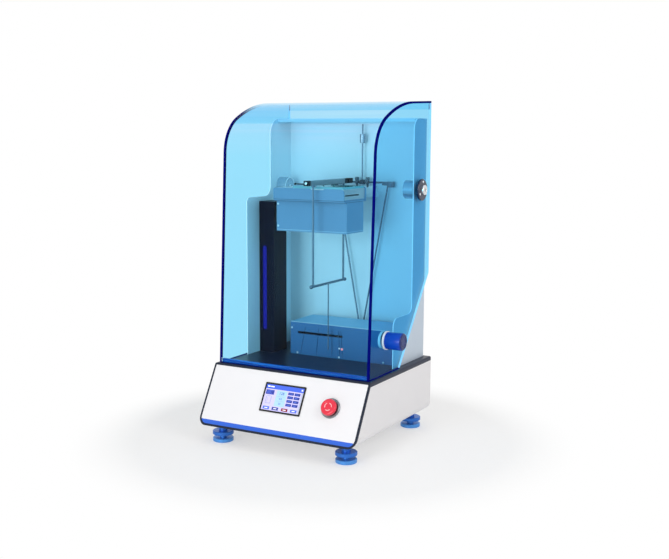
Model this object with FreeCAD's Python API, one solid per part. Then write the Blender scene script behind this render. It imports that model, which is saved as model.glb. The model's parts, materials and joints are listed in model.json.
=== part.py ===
import FreeCAD, Part
import math
import os
from FreeCAD import Vector

# Pendulum hardness tester. Millimetres, +Z up. Inside the functions, X = 0 is the middle of the
# cabinet, Y = 0 the front edge of its deck with +Y to the back, and Z = 0 the bench.
# Every sub-part is moved by the same shift at the end, so the origin is the bottom centre of the whole.

# Fits shared by many pieces
RUN_GAP = 0.05          # radial clearance of a shaft that turns or slides in its bore
AIR_GAP = 0.4           # clearance between faces that move past each other

# Cabinet
FOOT_HEIGHT = 44.0      # bench to the underside of the cabinet
BASE_HEIGHT = 135.0
BASE_WIDTH = 420.0
DECK_DEPTH = 327.0
SLOPE_RUN = 75.0        # how far the foot of the sloping panel stands in front of its top
CORNER_TOP_R = 4.0
CORNER_BOTTOM_R = 20.0
SHELL_WALL = 2.0
DECK_THICK = 10.0
BEZEL_DEPTH = 5.0
BEZEL_RIM = 4.5
PANEL_PLATE = 3.0
PANEL_SINK = 0.5        # the white plate lies this much below the rim of the bezel
REAR_PANEL_SINK = 2.0

# Touch screen on the sloping panel; distances run down the slope from its top edge
SCREEN_TOP = 30.4
SCREEN_HEIGHT = 69.3
SCREEN_WIDTH = 109.0
SCREEN_FRAME = 4.0
SCREEN_PROUD = 1.0
SCREEN_BODY_DEPTH = 18.0
SCREEN_SINK = 0.8

# Stop button
STOP_INSET = 82.0       # cabinet's right side to the button's middle
STOP_DOWN = 70.0
STOP_COLLAR_R = 23.0
STOP_COLLAR_TOP = 4.0
STOP_BARREL_R = 14.5
STOP_BARREL_DEPTH = 25.0
STOP_STEM_R = 12.0
STOP_HEAD_R = 19.0
STOP_HEAD_THICK = 7.5
STOP_TRAVEL = 3.6
STOP_SPIGOT_R = 6.0
STOP_SPIGOT_LENGTH = 3.4
STOP_COLLAR_CHAMFER = 1.5
STOP_BARREL_END = 3.0   # thickness of the barrel's closed end
STOP_SPRING_SPACE = 2.0 # room left behind the plunger when it is pushed right in
STOP_HEAD_ROUND = 3.75
STOP_HEAD_CHAMFER = 2.25

# Levelling feet
FOOT_INSET = 43.0       # cabinet's side to a foot's middle
FOOT_FRONT_Y = -32.0
FOOT_REAR_INSET = 23.0  # deck's rear edge to a rear foot's middle
FOOT_CHAMFER = 1.2
PAD_R = 24.5
PAD_THICK = 9.0
PAD_BOSS_R = 8.0
PAD_BOSS_HEIGHT = 3.0
WHEEL_R = 25.0
WHEEL_THICK = 9.0
WHEEL_BOTTOM = 16.5
HUB_R = 10.0
STUD_R = 5.0
STUD_FOOT = 4.0
BUSH_R = 14.0
BUSH_SPIGOT_R = 9.0
BUSH_HEIGHT = 12.0
FOOT_DOWN = 8.0         # how far a foot screws out from the pictured height

# Tower at the back of the deck
CHEEK_SHEET = 2.0
LEFT_CHEEK_GAP = 2.0    # outer face of the left cheek to the inner face of the hood
RIGHT_CHEEK_GAP = 5.0
TOWER_HEIGHT = 584.0
TOWER_REAR_Y = 320.0
LEFT_STEP_Y = 114.0     # front edge of the deep lower part of the left cheek
LEFT_STEP_HEIGHT = 391.0
LEFT_UPPER_Y = 221.0
LEFT_STEP_R = 13.0
LEFT_NECK_R = 25.0
LEFT_TOP_R = 40.0
RIGHT_STEP_Y = 149.0
RIGHT_STEP_HEIGHT = 119.0
RIGHT_UPPER_Y = 250.0
RIGHT_STEP_R = 20.0
RIGHT_NECK_R = 20.0
RIGHT_TOP_R = 27.0
CAP_FRONT_Y = 258.0
CAP_LIP = 8.0

# Column that carries the specimen table
COLUMN_WIDTH = 43.0
COLUMN_FRONT_Y = 168.0
COLUMN_DEPTH = 59.0
COLUMN_TOP_DROP = 11.0  # underside of the tray to the top of the column
COLUMN_WALL = 2.0
STRIP_WIDTH = 10.0
STRIP_LOW = 57.0
STRIP_HIGH = 269.0
ROUND_END_LAND = 0.01   # flat left between the two round corners of a slot's end
STRIP_INSET = 11.0      # from the left edge of the column to the strip
POST_INSET = 9.0
POST_WIDTH = 22.0
POST_FRONT_Y = 184.0
POST_DEPTH = 28.0
ARM_DROP = 61.0         # underside of the tray to the underside of the arm
ARM_HEIGHT = 40.0
ARM_FRONT_Y = 180.0
ARM_DEPTH = 20.0
ARM_CLEARANCE = 1.0

# Specimen table
TABLE_LEFT = -112.0
TABLE_RIGHT = 81.0
TRAY_FRONT_Y = 107.0
TRAY_DEPTH = 112.0
TRAY_DROP = 33.0        # rolling line of the pendulum to the underside of the tray
TRAY_SHEET = 2.5
APRON_FRONT_DROP = 5.5  # rolling line to the top of the front apron
APRON_REAR_DROP = 2.0
APRON_CORNER_R = 8.0
APRON_DIP = 2.5
APRON_DIP_HALF = 19.0
BOX_FRONT_Y = 122.0
BOX_DEPTH = 83.0
BOX_HEIGHT = 77.0
BOX_WALL = 2.0
BOX_FLANGE_THICK = 4.0
BOX_FLANGE_INSET = 2.0  # from the tray's edge back to the edge of the flange
GLASS_THICK = 5.0
GLASS_LEFT = -60.0
GLASS_SIDE_GAP = 2.0
SLOT_LIFT = 8.5         # underside of the platform to its slot
SLOT_HEIGHT = 3.0
SLOT_LENGTH = 25.0
SLOT_FRONT_INSET = 8.0
SLOT_REAR_INSET = 30.0

# Scale housing at the foot of the tower
SCALE_LEFT = -110.0
SCALE_FRONT_Y = 182.0
SCALE_REAR_Y = 293.0
SCALE_HEIGHT = 82.0
SCALE_PLATE = 3.0
SCALE_WALL = 2.0
WINDOW_LEFT = -89.0
WINDOW_RIGHT = 39.0
WINDOW_Z = 55.8
WINDOW_HEIGHT = 6.0
LINE_LOW = 9.0
LINE_HIGH = 70.0
LINE_WIDTH = 1.2
LINE_DEPTH = 0.6
SCALE_MARKS = (-12.0, -6.0, 0.0, 3.0, 4.0)
LED_R = 3.0
LED_Z = 25.0
LED_PROUD = 0.8
SENSOR_HALF_WIDTH = 6.0
SENSOR_HALF_HEIGHT = 8.0
SENSOR_DEPTH = 4.0

# Heavy frame pendulum, at rest on the specimen
PIVOT_X = 9.0
PIVOT_Y = 163.0
POINTER_LENGTH = 401.4  # line on which the balls roll to the pointer's tip
POINTER_CLEARANCE = 22.6
TIP_R = 0.5
POINT_LENGTH = 6.0
BALL_R = 2.5
HEAVY_BALL_HALF = 25.0
BAR_HALF_WIDTH = 8.0
BAR_THICK = 12.0
BAR_LIFT = 3.0          # underside of the bar above the rolling line
BAR_FRONT_Y = 67.0
BAR_REAR_Y = 229.0
BAR_CHAMFER = 0.8
END_BLOCK = 12.0
END_BLOCK_LENGTH = 11.0
REAR_CLAMP_LENGTH = 17.0
REAR_WEIGHT_GAP = 4.0
REAR_WEIGHT_LENGTH = 22.0
REAR_BLOCK_HALF = 7.0
REAR_STEM_R = 3.0
FRAME_FRONT_Y = 89.4
FRAME_REAR_Y = 237.0
FRAME_ROD_R = 2.5
CROSSBAR_DROP = 235.0   # rolling line to the lower crossbar
CROSSBAR_R = 3.0
CROSSBAR_OVERHANG = 8.0
KNOB_END_R = 4.5
POINTER_R = 1.5
SWING = 12.0            # degrees to each side
TRIM_SCREW_R = 1.5
TRIM_SCREW_LENGTH = 27.0
TRIM_SCREW_LIFT = 4.2   # underside of the bar to the trim screw
TRIM_HEAD_R = 2.5
TRIM_HEAD_LENGTH = 2.0
ROD_NUT_R = 4.5
ROD_NUT_HEIGHT = 3.5
STUB_R = 2.0            # short peg under the bar beside the front rod
STUB_LENGTH = 5.5
STUB_OFFSET = 11.5

# Light pendulum, stored on the rear wall
STORE_X = 26.0
STORE_Y = 303.0
STORE_Z = 415.0
LIGHT_BALL_HALF = 15.0
LIGHT_BAR_LIFT = 13.0
LIGHT_BAR_R = 2.2
LIGHT_HALF_SPAN = 87.0
LIGHT_BLOCK_LENGTH = 30.0
LIGHT_BLOCK_HALF = 5.5
CLAMP_HALF_DEPTH = 3.9  # wider inner half of each end clamp
CLAMP_DROP = 6.5
CLAMP_RISE = 1.65
V_TOP_HALF = 71.5
V_FOOT_HALF = 4.5
V_FOOT_Z = 62.0
V_ROD_R = 2.0
APEX_SIDE = 4.0         # block at the foot of the two rods
APEX_HALF_DEPTH = 3.0
APEX_DROP = 12.0
APEX_RISE = 3.0
LIGHT_TIP_Z = 24.0
COUNTER_ROD_R = 1.8
COUNTER_ROD_TOP = 571.0
WEIGHT_LOW = 524.5
WEIGHT_LENGTH = 22.0
WEIGHT_R = 7.0
WEIGHT_CHAMFER = 0.8
THUMB_R = 4.5
THUMB_HEIGHT = 9.0
PIN_BLOCK_HALF = 3.5    # square clamp on the crossbar round each ball pin
PIN_SHANK_R = 1.5
HANGER_HALF = 36.0
HANGER_SHEET = 3.0
HANGER_TOP = 419.0
HANGER_HEIGHT = 28.0

# Release carriage and pin behind the scale
PIN_X = 26.0
PIN_R = 2.0
PIN_OUT = 23.0
CARRIAGE_WIDTH = 24.0
CARRIAGE_FRONT_Y = 190.0
CARRIAGE_DEPTH = 36.0
CARRIAGE_LOW = 38.0
CARRIAGE_HEIGHT = 26.0
GUIDE_R = 3.0
GUIDE_Z = 46.0
GUIDE_FRONT_Y = 197.0
GUIDE_REAR_Y = 219.0
SCREW_R = 2.5
BRACKET = 6.0
GUIDE_LEFT = -100.0
GUIDE_RIGHT = 51.0
MOTOR_SIDE = 35.0
MOTOR_LENGTH = 34.0

# Acrylic hood
HOOD_INSET = 8.0        # outer side faces inside the cabinet sides
HOOD_SHEET = 5.0
HOOD_FOOT_Y = 5.7
HOOD_BROW_Y = 32.7      # the front leans back to the brow, where the sheet starts to bend over
HOOD_BROW_Z = 558.7
HOOD_BROW_R = 96.5
HOOD_CROWN_Y = 149.0
HOOD_CROWN_Z = 619.5
HOOD_CROWN_R = 336.0
HOOD_REAR_Y = 322.0
HOOD_HEIGHT = 626.0     # above the deck, at the back
CHAMFER_TOP = 210.0
CHAMFER_FOOT_Y = 164.0
REAR_RAIL_HEIGHT = 15.0
BOTTOM_RAIL_HEIGHT = 9.0
RAIL_THICK = 5.0
HINGE_Y = 270.0
HINGE_Z = 415.0
HINGE_PIN_R = 8.0
HINGE_HUB_R = 12.0
HINGE_DISC_R = 26.0
HINGE_DISC_THICK = 5.0
HINGE_DISC_CHAMFER = 1.5
HINGE_HUB_PROUD = 0.5   # how far the hub shows inside the sheet
HINGE_CAP_R = 12.0
HINGE_CAP_THICK = 6.0
HINGE_CAP_CHAMFER = 1.2
HINGE_BOSS_R = 22.0
HINGE_BOSS_LENGTH = 27.0
HINGE_BOSS_END = 5.0    # closed end of the boss
DISC_SCREW_R = 2.8
DISC_SCREW_CIRCLE = 19.0
DISC_SCREW_HEAD = 1.4

# Lift knob on the right side of the hood
KNOB_Y = 90.5
KNOB_Z = 80.0
KNOB_R = 20.0
KNOB_LENGTH = 41.0
KNOB_RING_R = 21.5
KNOB_RING_THICK = 4.0
KNOB_NUT_R = 20.0
KNOB_NUT_THICK = 6.0
KNOB_STUD_R = 4.0
KNOB_ROUND = 3.5

# Parts inside and at the back of the cabinet
INLET_INSET = 90.0      # cabinet's side to the inlet's middle
INLET_LIFT = 55.0       # underside of the cabinet to the inlet's middle
INLET_WIDTH = 46.0
INLET_HEIGHT = 26.0
INLET_DEPTH = 24.0
INLET_FLANGE = 3.0
INLET_MOUTH_WIDTH = 26.0
INLET_MOUTH_HEIGHT = 17.0
INLET_MOUTH_DEPTH = 16.0
BLADE_LENGTH = 10.0
BLADE_HALF_WIDTH = 1.0
BLADE_HALF_HEIGHT = 2.0
BLADE_PITCH = 7.0
BLADE_RISE = 2.0
BOARD_LEFT_INSET = 90.0 # cabinet's left side to the board
BOARD_WIDTH = 160.0
BOARD_FRONT_Y = 60.0
BOARD_DEPTH = 110.0
BOARD_LIFT = 10.0
BOARD_THICK = 1.6
STANDOFF_R = 3.0
STANDOFF_INSET = 8.0
CHIP_SIDE = 22.0
CHIP_HEIGHT = 4.0
RELAY_WIDTH = 30.0
RELAY_DEPTH = 16.0
RELAY_HEIGHT = 12.0
HEADER_WIDTH = 14.0
HEADER_DEPTH = 40.0
HEADER_HEIGHT = 16.0
SUPPLY_RIGHT_INSET = 30.0
SUPPLY_WIDTH = 110.0
SUPPLY_FRONT_Y = 180.0
SUPPLY_DEPTH = 65.0
SUPPLY_HEIGHT = 40.0
TERMINAL_WIDTH = 12.0
TERMINAL_INSET = 8.0
TERMINAL_HEIGHT = 14.0
SCREW_HEAD_R = 2.6
SCREW_HEAD_HEIGHT = 1.4
SCREW_EDGE = 4.0        # middle of a screw to the edge beside it
FACE_SCREW_DROP = 16.0
FACE_SCREW_LEFT = 20.0
FACE_SCREW_RIGHT = 40.0
BOX_SCREW_INSET = 12.0
REAR_SCREW_INSET = 32.0
REAR_SCREW_LIFT = 20.0

# Values worked out from the driving dimensions
DECK_Z = FOOT_HEIGHT + BASE_HEIGHT
HALF = BASE_WIDTH / 2
SLOPE = math.hypot(SLOPE_RUN, BASE_HEIGHT)
TILT = math.degrees(math.atan2(BASE_HEIGHT, SLOPE_RUN))
HOOD_X = HALF - HOOD_INSET
HOOD_INNER_X = HOOD_X - HOOD_SHEET
STOP_X = HALF - STOP_INSET
FOOT_X = HALF - FOOT_INSET
FOOT_REAR_Y = DECK_DEPTH - FOOT_REAR_INSET
INLET_X = HALF - INLET_INSET
INLET_Z = FOOT_HEIGHT + INLET_LIFT
LEFT_CHEEK_X = LEFT_CHEEK_GAP - HOOD_INNER_X
RIGHT_CHEEK_X = HOOD_INNER_X - RIGHT_CHEEK_GAP
LEFT_INNER = LEFT_CHEEK_X + CHEEK_SHEET
RIGHT_INNER = RIGHT_CHEEK_X - CHEEK_SHEET
REAR_INNER = TOWER_REAR_Y - CHEEK_SHEET
HINGE_CAP_START = HOOD_X + HINGE_DISC_THICK + AIR_GAP
KNOB_END = HOOD_X + KNOB_RING_THICK + KNOB_LENGTH
PIVOT_Z = POINTER_LENGTH + POINTER_CLEARANCE    # height above the deck of the line on which the balls roll
SWING_Z = PIVOT_Z + BALL_R      # height above the deck of the balls' centres, about which the pendulum swings
GLASS_TOP = PIVOT_Z - AIR_GAP
TRAY_BOTTOM = PIVOT_Z - TRAY_DROP
BOX_BOTTOM = TRAY_BOTTOM - BOX_HEIGHT
ARM_LOW = TRAY_BOTTOM - ARM_DROP
COLUMN_HEIGHT = TRAY_BOTTOM - COLUMN_TOP_DROP
WHEEL_TOP = WHEEL_BOTTOM + WHEEL_THICK
BUSH_TOP = FOOT_HEIGHT + SHELL_WALL + BUSH_HEIGHT
LEFT_MOST = -max(HALF, HINGE_CAP_START + HINGE_CAP_THICK)
REAR_MOST = max(DECK_DEPTH, FOOT_REAR_Y + WHEEL_R)
SHIFT_X = (LEFT_MOST + KNOB_END) / 2
SHIFT_Y = (REAR_MOST - SLOPE_RUN) / 2
PIN_TRAVEL = PIN_X - (PIVOT_X - (SWING_Z - WINDOW_Z) * math.tan(math.radians(SWING))
                      + POINTER_R / math.cos(math.radians(SWING)) + PIN_R + AIR_GAP)

made = {}


def save(name, shape):
    """Keep one sub-part under its node name, in the part's own frame."""
    shape = shape.removeSplitter()
    shape.translate(Vector(-SHIFT_X, -SHIFT_Y, 0))
    made[name] = shape


def block(x0, x1, y0, y1, z0, z1):
    return Part.makeBox(x1 - x0, y1 - y0, z1 - z0, Vector(x0, y0, z0))


def rod(radius, start, end):
    """A round bar between two points."""
    line = end - start
    return Part.makeCylinder(radius, line.Length, start, line)


def taper(radius_a, radius_b, start, end):
    line = end - start
    return Part.makeCone(radius_a, radius_b, line.Length, start, line)


def ball(radius, centre):
    return Part.makeSphere(radius, centre)


def rounded_wire(corners, place):
    """A closed outline from corners (u, v, radius); place(u, v) gives the point in space."""
    edges = []
    previous_end = None
    first_start = None
    count = len(corners)
    for i in range(count):
        u, v, radius = corners[i]
        before = corners[i - 1]
        after = corners[(i + 1) % count]
        to_before = Vector(before[0] - u, before[1] - v, 0).normalize()
        to_after = Vector(after[0] - u, after[1] - v, 0).normalize()
        half = to_before.getAngle(to_after) / 2
        reach = radius / math.tan(half)
        start = Vector(u, v, 0) + to_before * reach
        end = Vector(u, v, 0) + to_after * reach
        if first_start is None:
            first_start = start
        if previous_end is not None:
            edges.append(Part.LineSegment(place(previous_end), place(start)).toShape())
        if radius > 0:
            bisector = (to_before + to_after).normalize()
            middle = Vector(u, v, 0) + bisector * (radius / math.sin(half) - radius)
            edges.append(Part.Arc(place(start), place(middle), place(end)).toShape())
        previous_end = end
    edges.append(Part.LineSegment(place(previous_end), place(first_start)).toShape())
    return Part.Wire(edges)


def plate_x(corners, x0, x1):
    """A flat plate whose outline is in Y and Z."""
    wire = rounded_wire(corners, lambda p: Vector(x0, p.x, p.y))
    return Part.Face(wire).extrude(Vector(x1 - x0, 0, 0))


def plate_y(corners, y0, y1):
    """A flat plate whose outline is in X and Z."""
    wire = rounded_wire(corners, lambda p: Vector(p.x, y0, p.y))
    return Part.Face(wire).extrude(Vector(0, y1 - y0, 0))


def plate_z(corners, z0, z1):
    """A flat plate whose outline is in X and Y."""
    wire = rounded_wire(corners, lambda p: Vector(p.x, p.y, z0))
    return Part.Face(wire).extrude(Vector(0, 0, z1 - z0))


def rectangle(u0, u1, v0, v1, radius=0.0):
    return [(u0, v0, radius), (u1, v0, radius), (u1, v1, radius), (u0, v1, radius)]


def on_panel(shape):
    """Move a shape from the panel's own frame, whose Y runs up the slope and Z out of it."""
    place = FreeCAD.Placement(Vector(0, 0, DECK_Z), FreeCAD.Rotation(Vector(1, 0, 0), TILT))
    shape.Placement = place.multiply(shape.Placement)
    return shape


def behind_slope(depth):
    """All the space that lies at least this deep behind the sloping face."""
    reach = 3 * BASE_WIDTH
    return on_panel(block(-reach, reach, -reach, reach, -2 * reach, -depth))


def cabinet_prism(inset, y0, y1):
    """The cabinet's outline seen from the front, drawn in by the inset and run from y0 to y1."""
    top_r = max(CORNER_TOP_R - inset, 0.0)
    low_r = CORNER_BOTTOM_R - inset
    side = HALF - inset
    corners = [(-side, FOOT_HEIGHT + inset, low_r), (side, FOOT_HEIGHT + inset, low_r),
               (side, DECK_Z - inset, top_r), (-side, DECK_Z - inset, top_r)]
    return plate_y(corners, y0, y1)


def panel_point(x, down, out):
    """A point on the sloping panel, in the frame of the whole."""
    lean = math.radians(TILT)
    y = -down * math.cos(lean) - out * math.sin(lean)
    z = DECK_Z - down * math.sin(lean) + out * math.cos(lean)
    return Vector(x, y, z)


# Cabinet


def foot_places():
    return [(-FOOT_X, FOOT_FRONT_Y), (FOOT_X, FOOT_FRONT_Y), (-FOOT_X, FOOT_REAR_Y), (FOOT_X, FOOT_REAR_Y)]


def base_shell():
    """One folded sheet: both sides and the floor, open at the front, top and back."""
    front = -2 * SLOPE_RUN
    outer = cabinet_prism(0.0, front, DECK_DEPTH)
    inner = cabinet_prism(SHELL_WALL, front - 1, DECK_DEPTH + 1)
    shell = outer.cut(inner)
    shell = shell.common(behind_slope(BEZEL_DEPTH))
    top = DECK_Z - DECK_THICK
    shell = shell.common(block(-HALF, HALF, front, DECK_DEPTH, 0, top))
    for x, y in foot_places():
        shell = shell.cut(rod(BUSH_SPIGOT_R, Vector(x, y, 0), Vector(x, y, FOOT_HEIGHT + SHELL_WALL)))
    save("base_shell", shell)


def deck_plate():
    """Black deck whose edge shows as a dark band along the cabinet's sides."""
    front = -2 * SLOPE_RUN
    deck = cabinet_prism(0.0, front, DECK_DEPTH)
    deck = deck.common(behind_slope(BEZEL_DEPTH))
    top = block(-HALF, HALF, front, DECK_DEPTH, DECK_Z - DECK_THICK, DECK_Z)
    save("deck_plate", deck.common(top))


def front_bezel():
    """Dark rim round the sloping panel."""
    front = -2 * SLOPE_RUN
    slab = cabinet_prism(0.0, front, SLOPE_RUN)
    slab = slab.common(behind_slope(0.0)).cut(behind_slope(BEZEL_DEPTH))
    window = cabinet_prism(BEZEL_RIM, front - 1, SLOPE_RUN + 1)
    save("front_bezel", slab.cut(window))


def screen_outline(margin):
    half = SCREEN_WIDTH / 2 - margin
    return rectangle(-half, half, -SCREEN_TOP - SCREEN_HEIGHT + margin, -SCREEN_TOP - margin)


def front_panel():
    """White plate with the screen window and the button hole."""
    front = -2 * SLOPE_RUN
    plate = cabinet_prism(BEZEL_RIM, front, SLOPE_RUN)
    plate = plate.common(behind_slope(PANEL_SINK)).cut(behind_slope(PANEL_SINK + PANEL_PLATE))
    window = plate_z(screen_outline(SCREEN_FRAME), -SLOPE, SLOPE)
    plate = plate.cut(on_panel(window))
    hole = rod(STOP_BARREL_R, Vector(STOP_X, -STOP_DOWN, -SLOPE), Vector(STOP_X, -STOP_DOWN, SLOPE))
    save("front_panel", plate.cut(on_panel(hole)))


def touch_screen():
    """Black frame on the panel, with the display's body through the window behind it."""
    frame = plate_z([(u, v, 2.0) for u, v, r in screen_outline(0.0)], -PANEL_SINK, SCREEN_PROUD)
    body = plate_z(screen_outline(SCREEN_FRAME), -SCREEN_BODY_DEPTH, 0.0)
    screen = frame.fuse(body)
    sunk = plate_z(screen_outline(SCREEN_FRAME), SCREEN_PROUD - SCREEN_SINK, SCREEN_PROUD + 1)
    save("touch_screen", on_panel(screen.cut(sunk)))


def rear_panel():
    """Plate that closes the back of the cabinet, with the hole for the mains inlet."""
    y1 = DECK_DEPTH - REAR_PANEL_SINK
    y0 = y1 - SHELL_WALL
    plate = cabinet_prism(SHELL_WALL, y0, y1)
    plate = plate.common(block(-HALF, HALF, y0, y1, 0, DECK_Z - DECK_THICK))
    half_x = INLET_WIDTH / 2
    half_z = INLET_HEIGHT / 2
    hole = block(INLET_X - half_x, INLET_X + half_x, y0 - 1, y1 + 1, INLET_Z - half_z, INLET_Z + half_z)
    save("rear_panel", plate.cut(hole))


def mains_inlet():
    """Socket for a mains lead, with its three blades."""
    wall = DECK_DEPTH - REAR_PANEL_SINK
    mouth = wall + REAR_PANEL_SINK
    half_x = INLET_WIDTH / 2
    half_z = INLET_HEIGHT / 2
    flange = rectangle(INLET_X - half_x - INLET_FLANGE, INLET_X + half_x + INLET_FLANGE,
                       INLET_Z - half_z - INLET_FLANGE, INLET_Z + half_z + INLET_FLANGE, INLET_FLANGE)
    socket = plate_y(flange, wall, mouth)
    body = block(INLET_X - half_x, INLET_X + half_x, mouth - INLET_DEPTH, mouth,
                 INLET_Z - half_z, INLET_Z + half_z)
    socket = socket.fuse(body)
    deep = mouth - INLET_MOUTH_DEPTH
    socket = socket.cut(block(INLET_X - INLET_MOUTH_WIDTH / 2, INLET_X + INLET_MOUTH_WIDTH / 2, deep, mouth + 1,
                              INLET_Z - INLET_MOUTH_HEIGHT / 2, INLET_Z + INLET_MOUTH_HEIGHT / 2))
    for place in (-1, 0, 1):
        x = INLET_X + place * BLADE_PITCH
        z = INLET_Z + (BLADE_RISE if place == 0 else -BLADE_RISE)
        socket = socket.fuse(block(x - BLADE_HALF_WIDTH, x + BLADE_HALF_WIDTH, deep - 1, deep + BLADE_LENGTH,
                                   z - BLADE_HALF_HEIGHT, z + BLADE_HALF_HEIGHT))
    save("mains_inlet", socket)


def control_board():
    """Circuit board on four stand-offs, with its larger components."""
    floor = FOOT_HEIGHT + SHELL_WALL
    under = floor + BOARD_LIFT
    top = under + BOARD_THICK
    x0 = BOARD_LEFT_INSET - HALF
    x1 = x0 + BOARD_WIDTH
    y0 = BOARD_FRONT_Y
    y1 = y0 + BOARD_DEPTH
    board = block(x0, x1, y0, y1, under, top)
    for x in (x0 + STANDOFF_INSET, x1 - STANDOFF_INSET):
        for y in (y0 + STANDOFF_INSET, y1 - STANDOFF_INSET):
            board = board.fuse(rod(STANDOFF_R, Vector(x, y, floor), Vector(x, y, under)))
    chip = (0.2, 0.3, CHIP_SIDE, CHIP_SIDE, CHIP_HEIGHT)
    relay = (0.5, 0.6, RELAY_WIDTH, RELAY_DEPTH, RELAY_HEIGHT)
    header = (0.8, 0.3, HEADER_WIDTH, HEADER_DEPTH, HEADER_HEIGHT)
    for along, back, width, depth, tall in (chip, relay, header):
        x = x0 + along * BOARD_WIDTH
        y = y0 + back * BOARD_DEPTH
        board = board.fuse(block(x - width / 2, x + width / 2, y - depth / 2, y + depth / 2, top, top + tall))
    save("control_board", board)


def power_supply():
    floor = FOOT_HEIGHT + SHELL_WALL
    x1 = HALF - SUPPLY_RIGHT_INSET
    x0 = x1 - SUPPLY_WIDTH
    y0 = SUPPLY_FRONT_Y
    y1 = y0 + SUPPLY_DEPTH
    case = block(x0, x1, y0, y1, floor, floor + SUPPLY_HEIGHT)
    terminals = block(x0 - TERMINAL_WIDTH, x0, y0 + TERMINAL_INSET, y1 - TERMINAL_INSET, floor,
                      floor + TERMINAL_HEIGHT)
    save("power_supply", case.fuse(terminals))


# Stop button


def stop_button():
    """Collar and barrel fixed in the panel, a plunger that slides in them, and the head that turns on it."""
    def along(radius, low, high):
        return rod(radius, Vector(STOP_X, -STOP_DOWN, low), Vector(STOP_X, -STOP_DOWN, high))
    collar = along(STOP_COLLAR_R, -PANEL_SINK, STOP_COLLAR_TOP)
    rim = [edge for edge in collar.Edges if abs(edge.BoundBox.ZMin - STOP_COLLAR_TOP) < 0.01]
    collar = collar.makeChamfer(STOP_COLLAR_CHAMFER, rim[:1])
    collar = collar.fuse(along(STOP_BARREL_R, -STOP_BARREL_DEPTH, 0.0))
    bore_low = STOP_BARREL_END - STOP_BARREL_DEPTH
    collar = collar.cut(along(STOP_STEM_R + RUN_GAP, bore_low, STOP_COLLAR_TOP + 1))
    save("stop_collar", on_panel(collar))
    head_low = STOP_COLLAR_TOP + STOP_TRAVEL + AIR_GAP
    shoulder = head_low - AIR_GAP
    stem_low = bore_low + STOP_TRAVEL + STOP_SPRING_SPACE
    plunger = along(STOP_STEM_R, stem_low, shoulder)
    plunger = plunger.fuse(along(STOP_SPIGOT_R, shoulder, shoulder + STOP_SPIGOT_LENGTH))
    save("stop_plunger", on_panel(plunger))
    head = along(STOP_HEAD_R, head_low, head_low + STOP_HEAD_THICK)
    top = [edge for edge in head.Edges if abs(edge.BoundBox.ZMin - head_low - STOP_HEAD_THICK) < 0.01]
    head = head.makeFillet(STOP_HEAD_ROUND, top[:1])
    low = [edge for edge in head.Edges if abs(edge.BoundBox.ZMax - head_low) < 0.01]
    head = head.makeChamfer(STOP_HEAD_CHAMFER, low[:1])
    socket_top = shoulder + STOP_SPIGOT_LENGTH + AIR_GAP
    head = head.cut(along(STOP_SPIGOT_R + RUN_GAP, head_low - 1, socket_top))
    save("stop_head", on_panel(head))


# Levelling feet


def foot_bushes():
    """Threaded bushes that hold the feet in the cabinet floor."""
    floor = FOOT_HEIGHT + SHELL_WALL
    bushes = []
    for x, y in foot_places():
        bush = rod(BUSH_SPIGOT_R, Vector(x, y, FOOT_HEIGHT), Vector(x, y, floor))
        bush = bush.fuse(rod(BUSH_R, Vector(x, y, floor), Vector(x, y, BUSH_TOP)))
        bushes.append(bush.cut(rod(STUD_R + RUN_GAP, Vector(x, y, 0), Vector(x, y, BUSH_TOP + 1))))
    save("foot_bushes", Part.makeCompound(bushes))


def foot(index, x, y):
    """A pad that stays put, and a thumb wheel with its stud that turns in the pad."""
    pad = rod(PAD_R, Vector(x, y, 0), Vector(x, y, PAD_THICK))
    pad = pad.makeChamfer(FOOT_CHAMFER, [edge for edge in pad.Edges if edge.Closed])
    boss_top = PAD_THICK + PAD_BOSS_HEIGHT
    pad = pad.fuse(rod(PAD_BOSS_R, Vector(x, y, PAD_THICK), Vector(x, y, boss_top)))
    bore = rod(STUD_R + RUN_GAP, Vector(x, y, STUD_FOOT - AIR_GAP), Vector(x, y, boss_top + 1))
    save("foot_pad_%d" % index, pad.cut(bore))
    wheel = rod(WHEEL_R, Vector(x, y, WHEEL_BOTTOM), Vector(x, y, WHEEL_TOP))
    wheel = wheel.makeChamfer(FOOT_CHAMFER, [edge for edge in wheel.Edges if edge.Closed])
    wheel = wheel.fuse(rod(HUB_R, Vector(x, y, WHEEL_TOP), Vector(x, y, FOOT_HEIGHT - AIR_GAP)))
    wheel = wheel.fuse(rod(STUD_R, Vector(x, y, STUD_FOOT), Vector(x, y, BUSH_TOP + FOOT_DOWN)))
    save("foot_wheel_%d" % index, wheel)


# Tower


def cheek_outline(step_y, step_height, upper_y, step_r, neck_r, top_r):
    """Side sheet of the tower: deep at the foot, stepping back to a narrow upper part."""
    z0 = DECK_Z
    top = z0 + TOWER_HEIGHT
    return [(step_y, z0, 0.0), (step_y, z0 + step_height, step_r), (upper_y, z0 + step_height, neck_r),
            (upper_y, top, top_r), (TOWER_REAR_Y, top, 0.0), (TOWER_REAR_Y, z0, 0.0)]


def tower_cheeks():
    left = plate_x(cheek_outline(LEFT_STEP_Y, LEFT_STEP_HEIGHT, LEFT_UPPER_Y, LEFT_STEP_R, LEFT_NECK_R, LEFT_TOP_R),
                   LEFT_CHEEK_X, LEFT_INNER)
    right = plate_x(cheek_outline(RIGHT_STEP_Y, RIGHT_STEP_HEIGHT, RIGHT_UPPER_Y, RIGHT_STEP_R, RIGHT_NECK_R,
                                  RIGHT_TOP_R), RIGHT_INNER, RIGHT_CHEEK_X)
    bore = rod(HINGE_PIN_R, hinge_point(-BASE_WIDTH), hinge_point(BASE_WIDTH))
    save("tower_left_cheek", left.cut(bore))
    save("tower_right_cheek", right.cut(bore))


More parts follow.
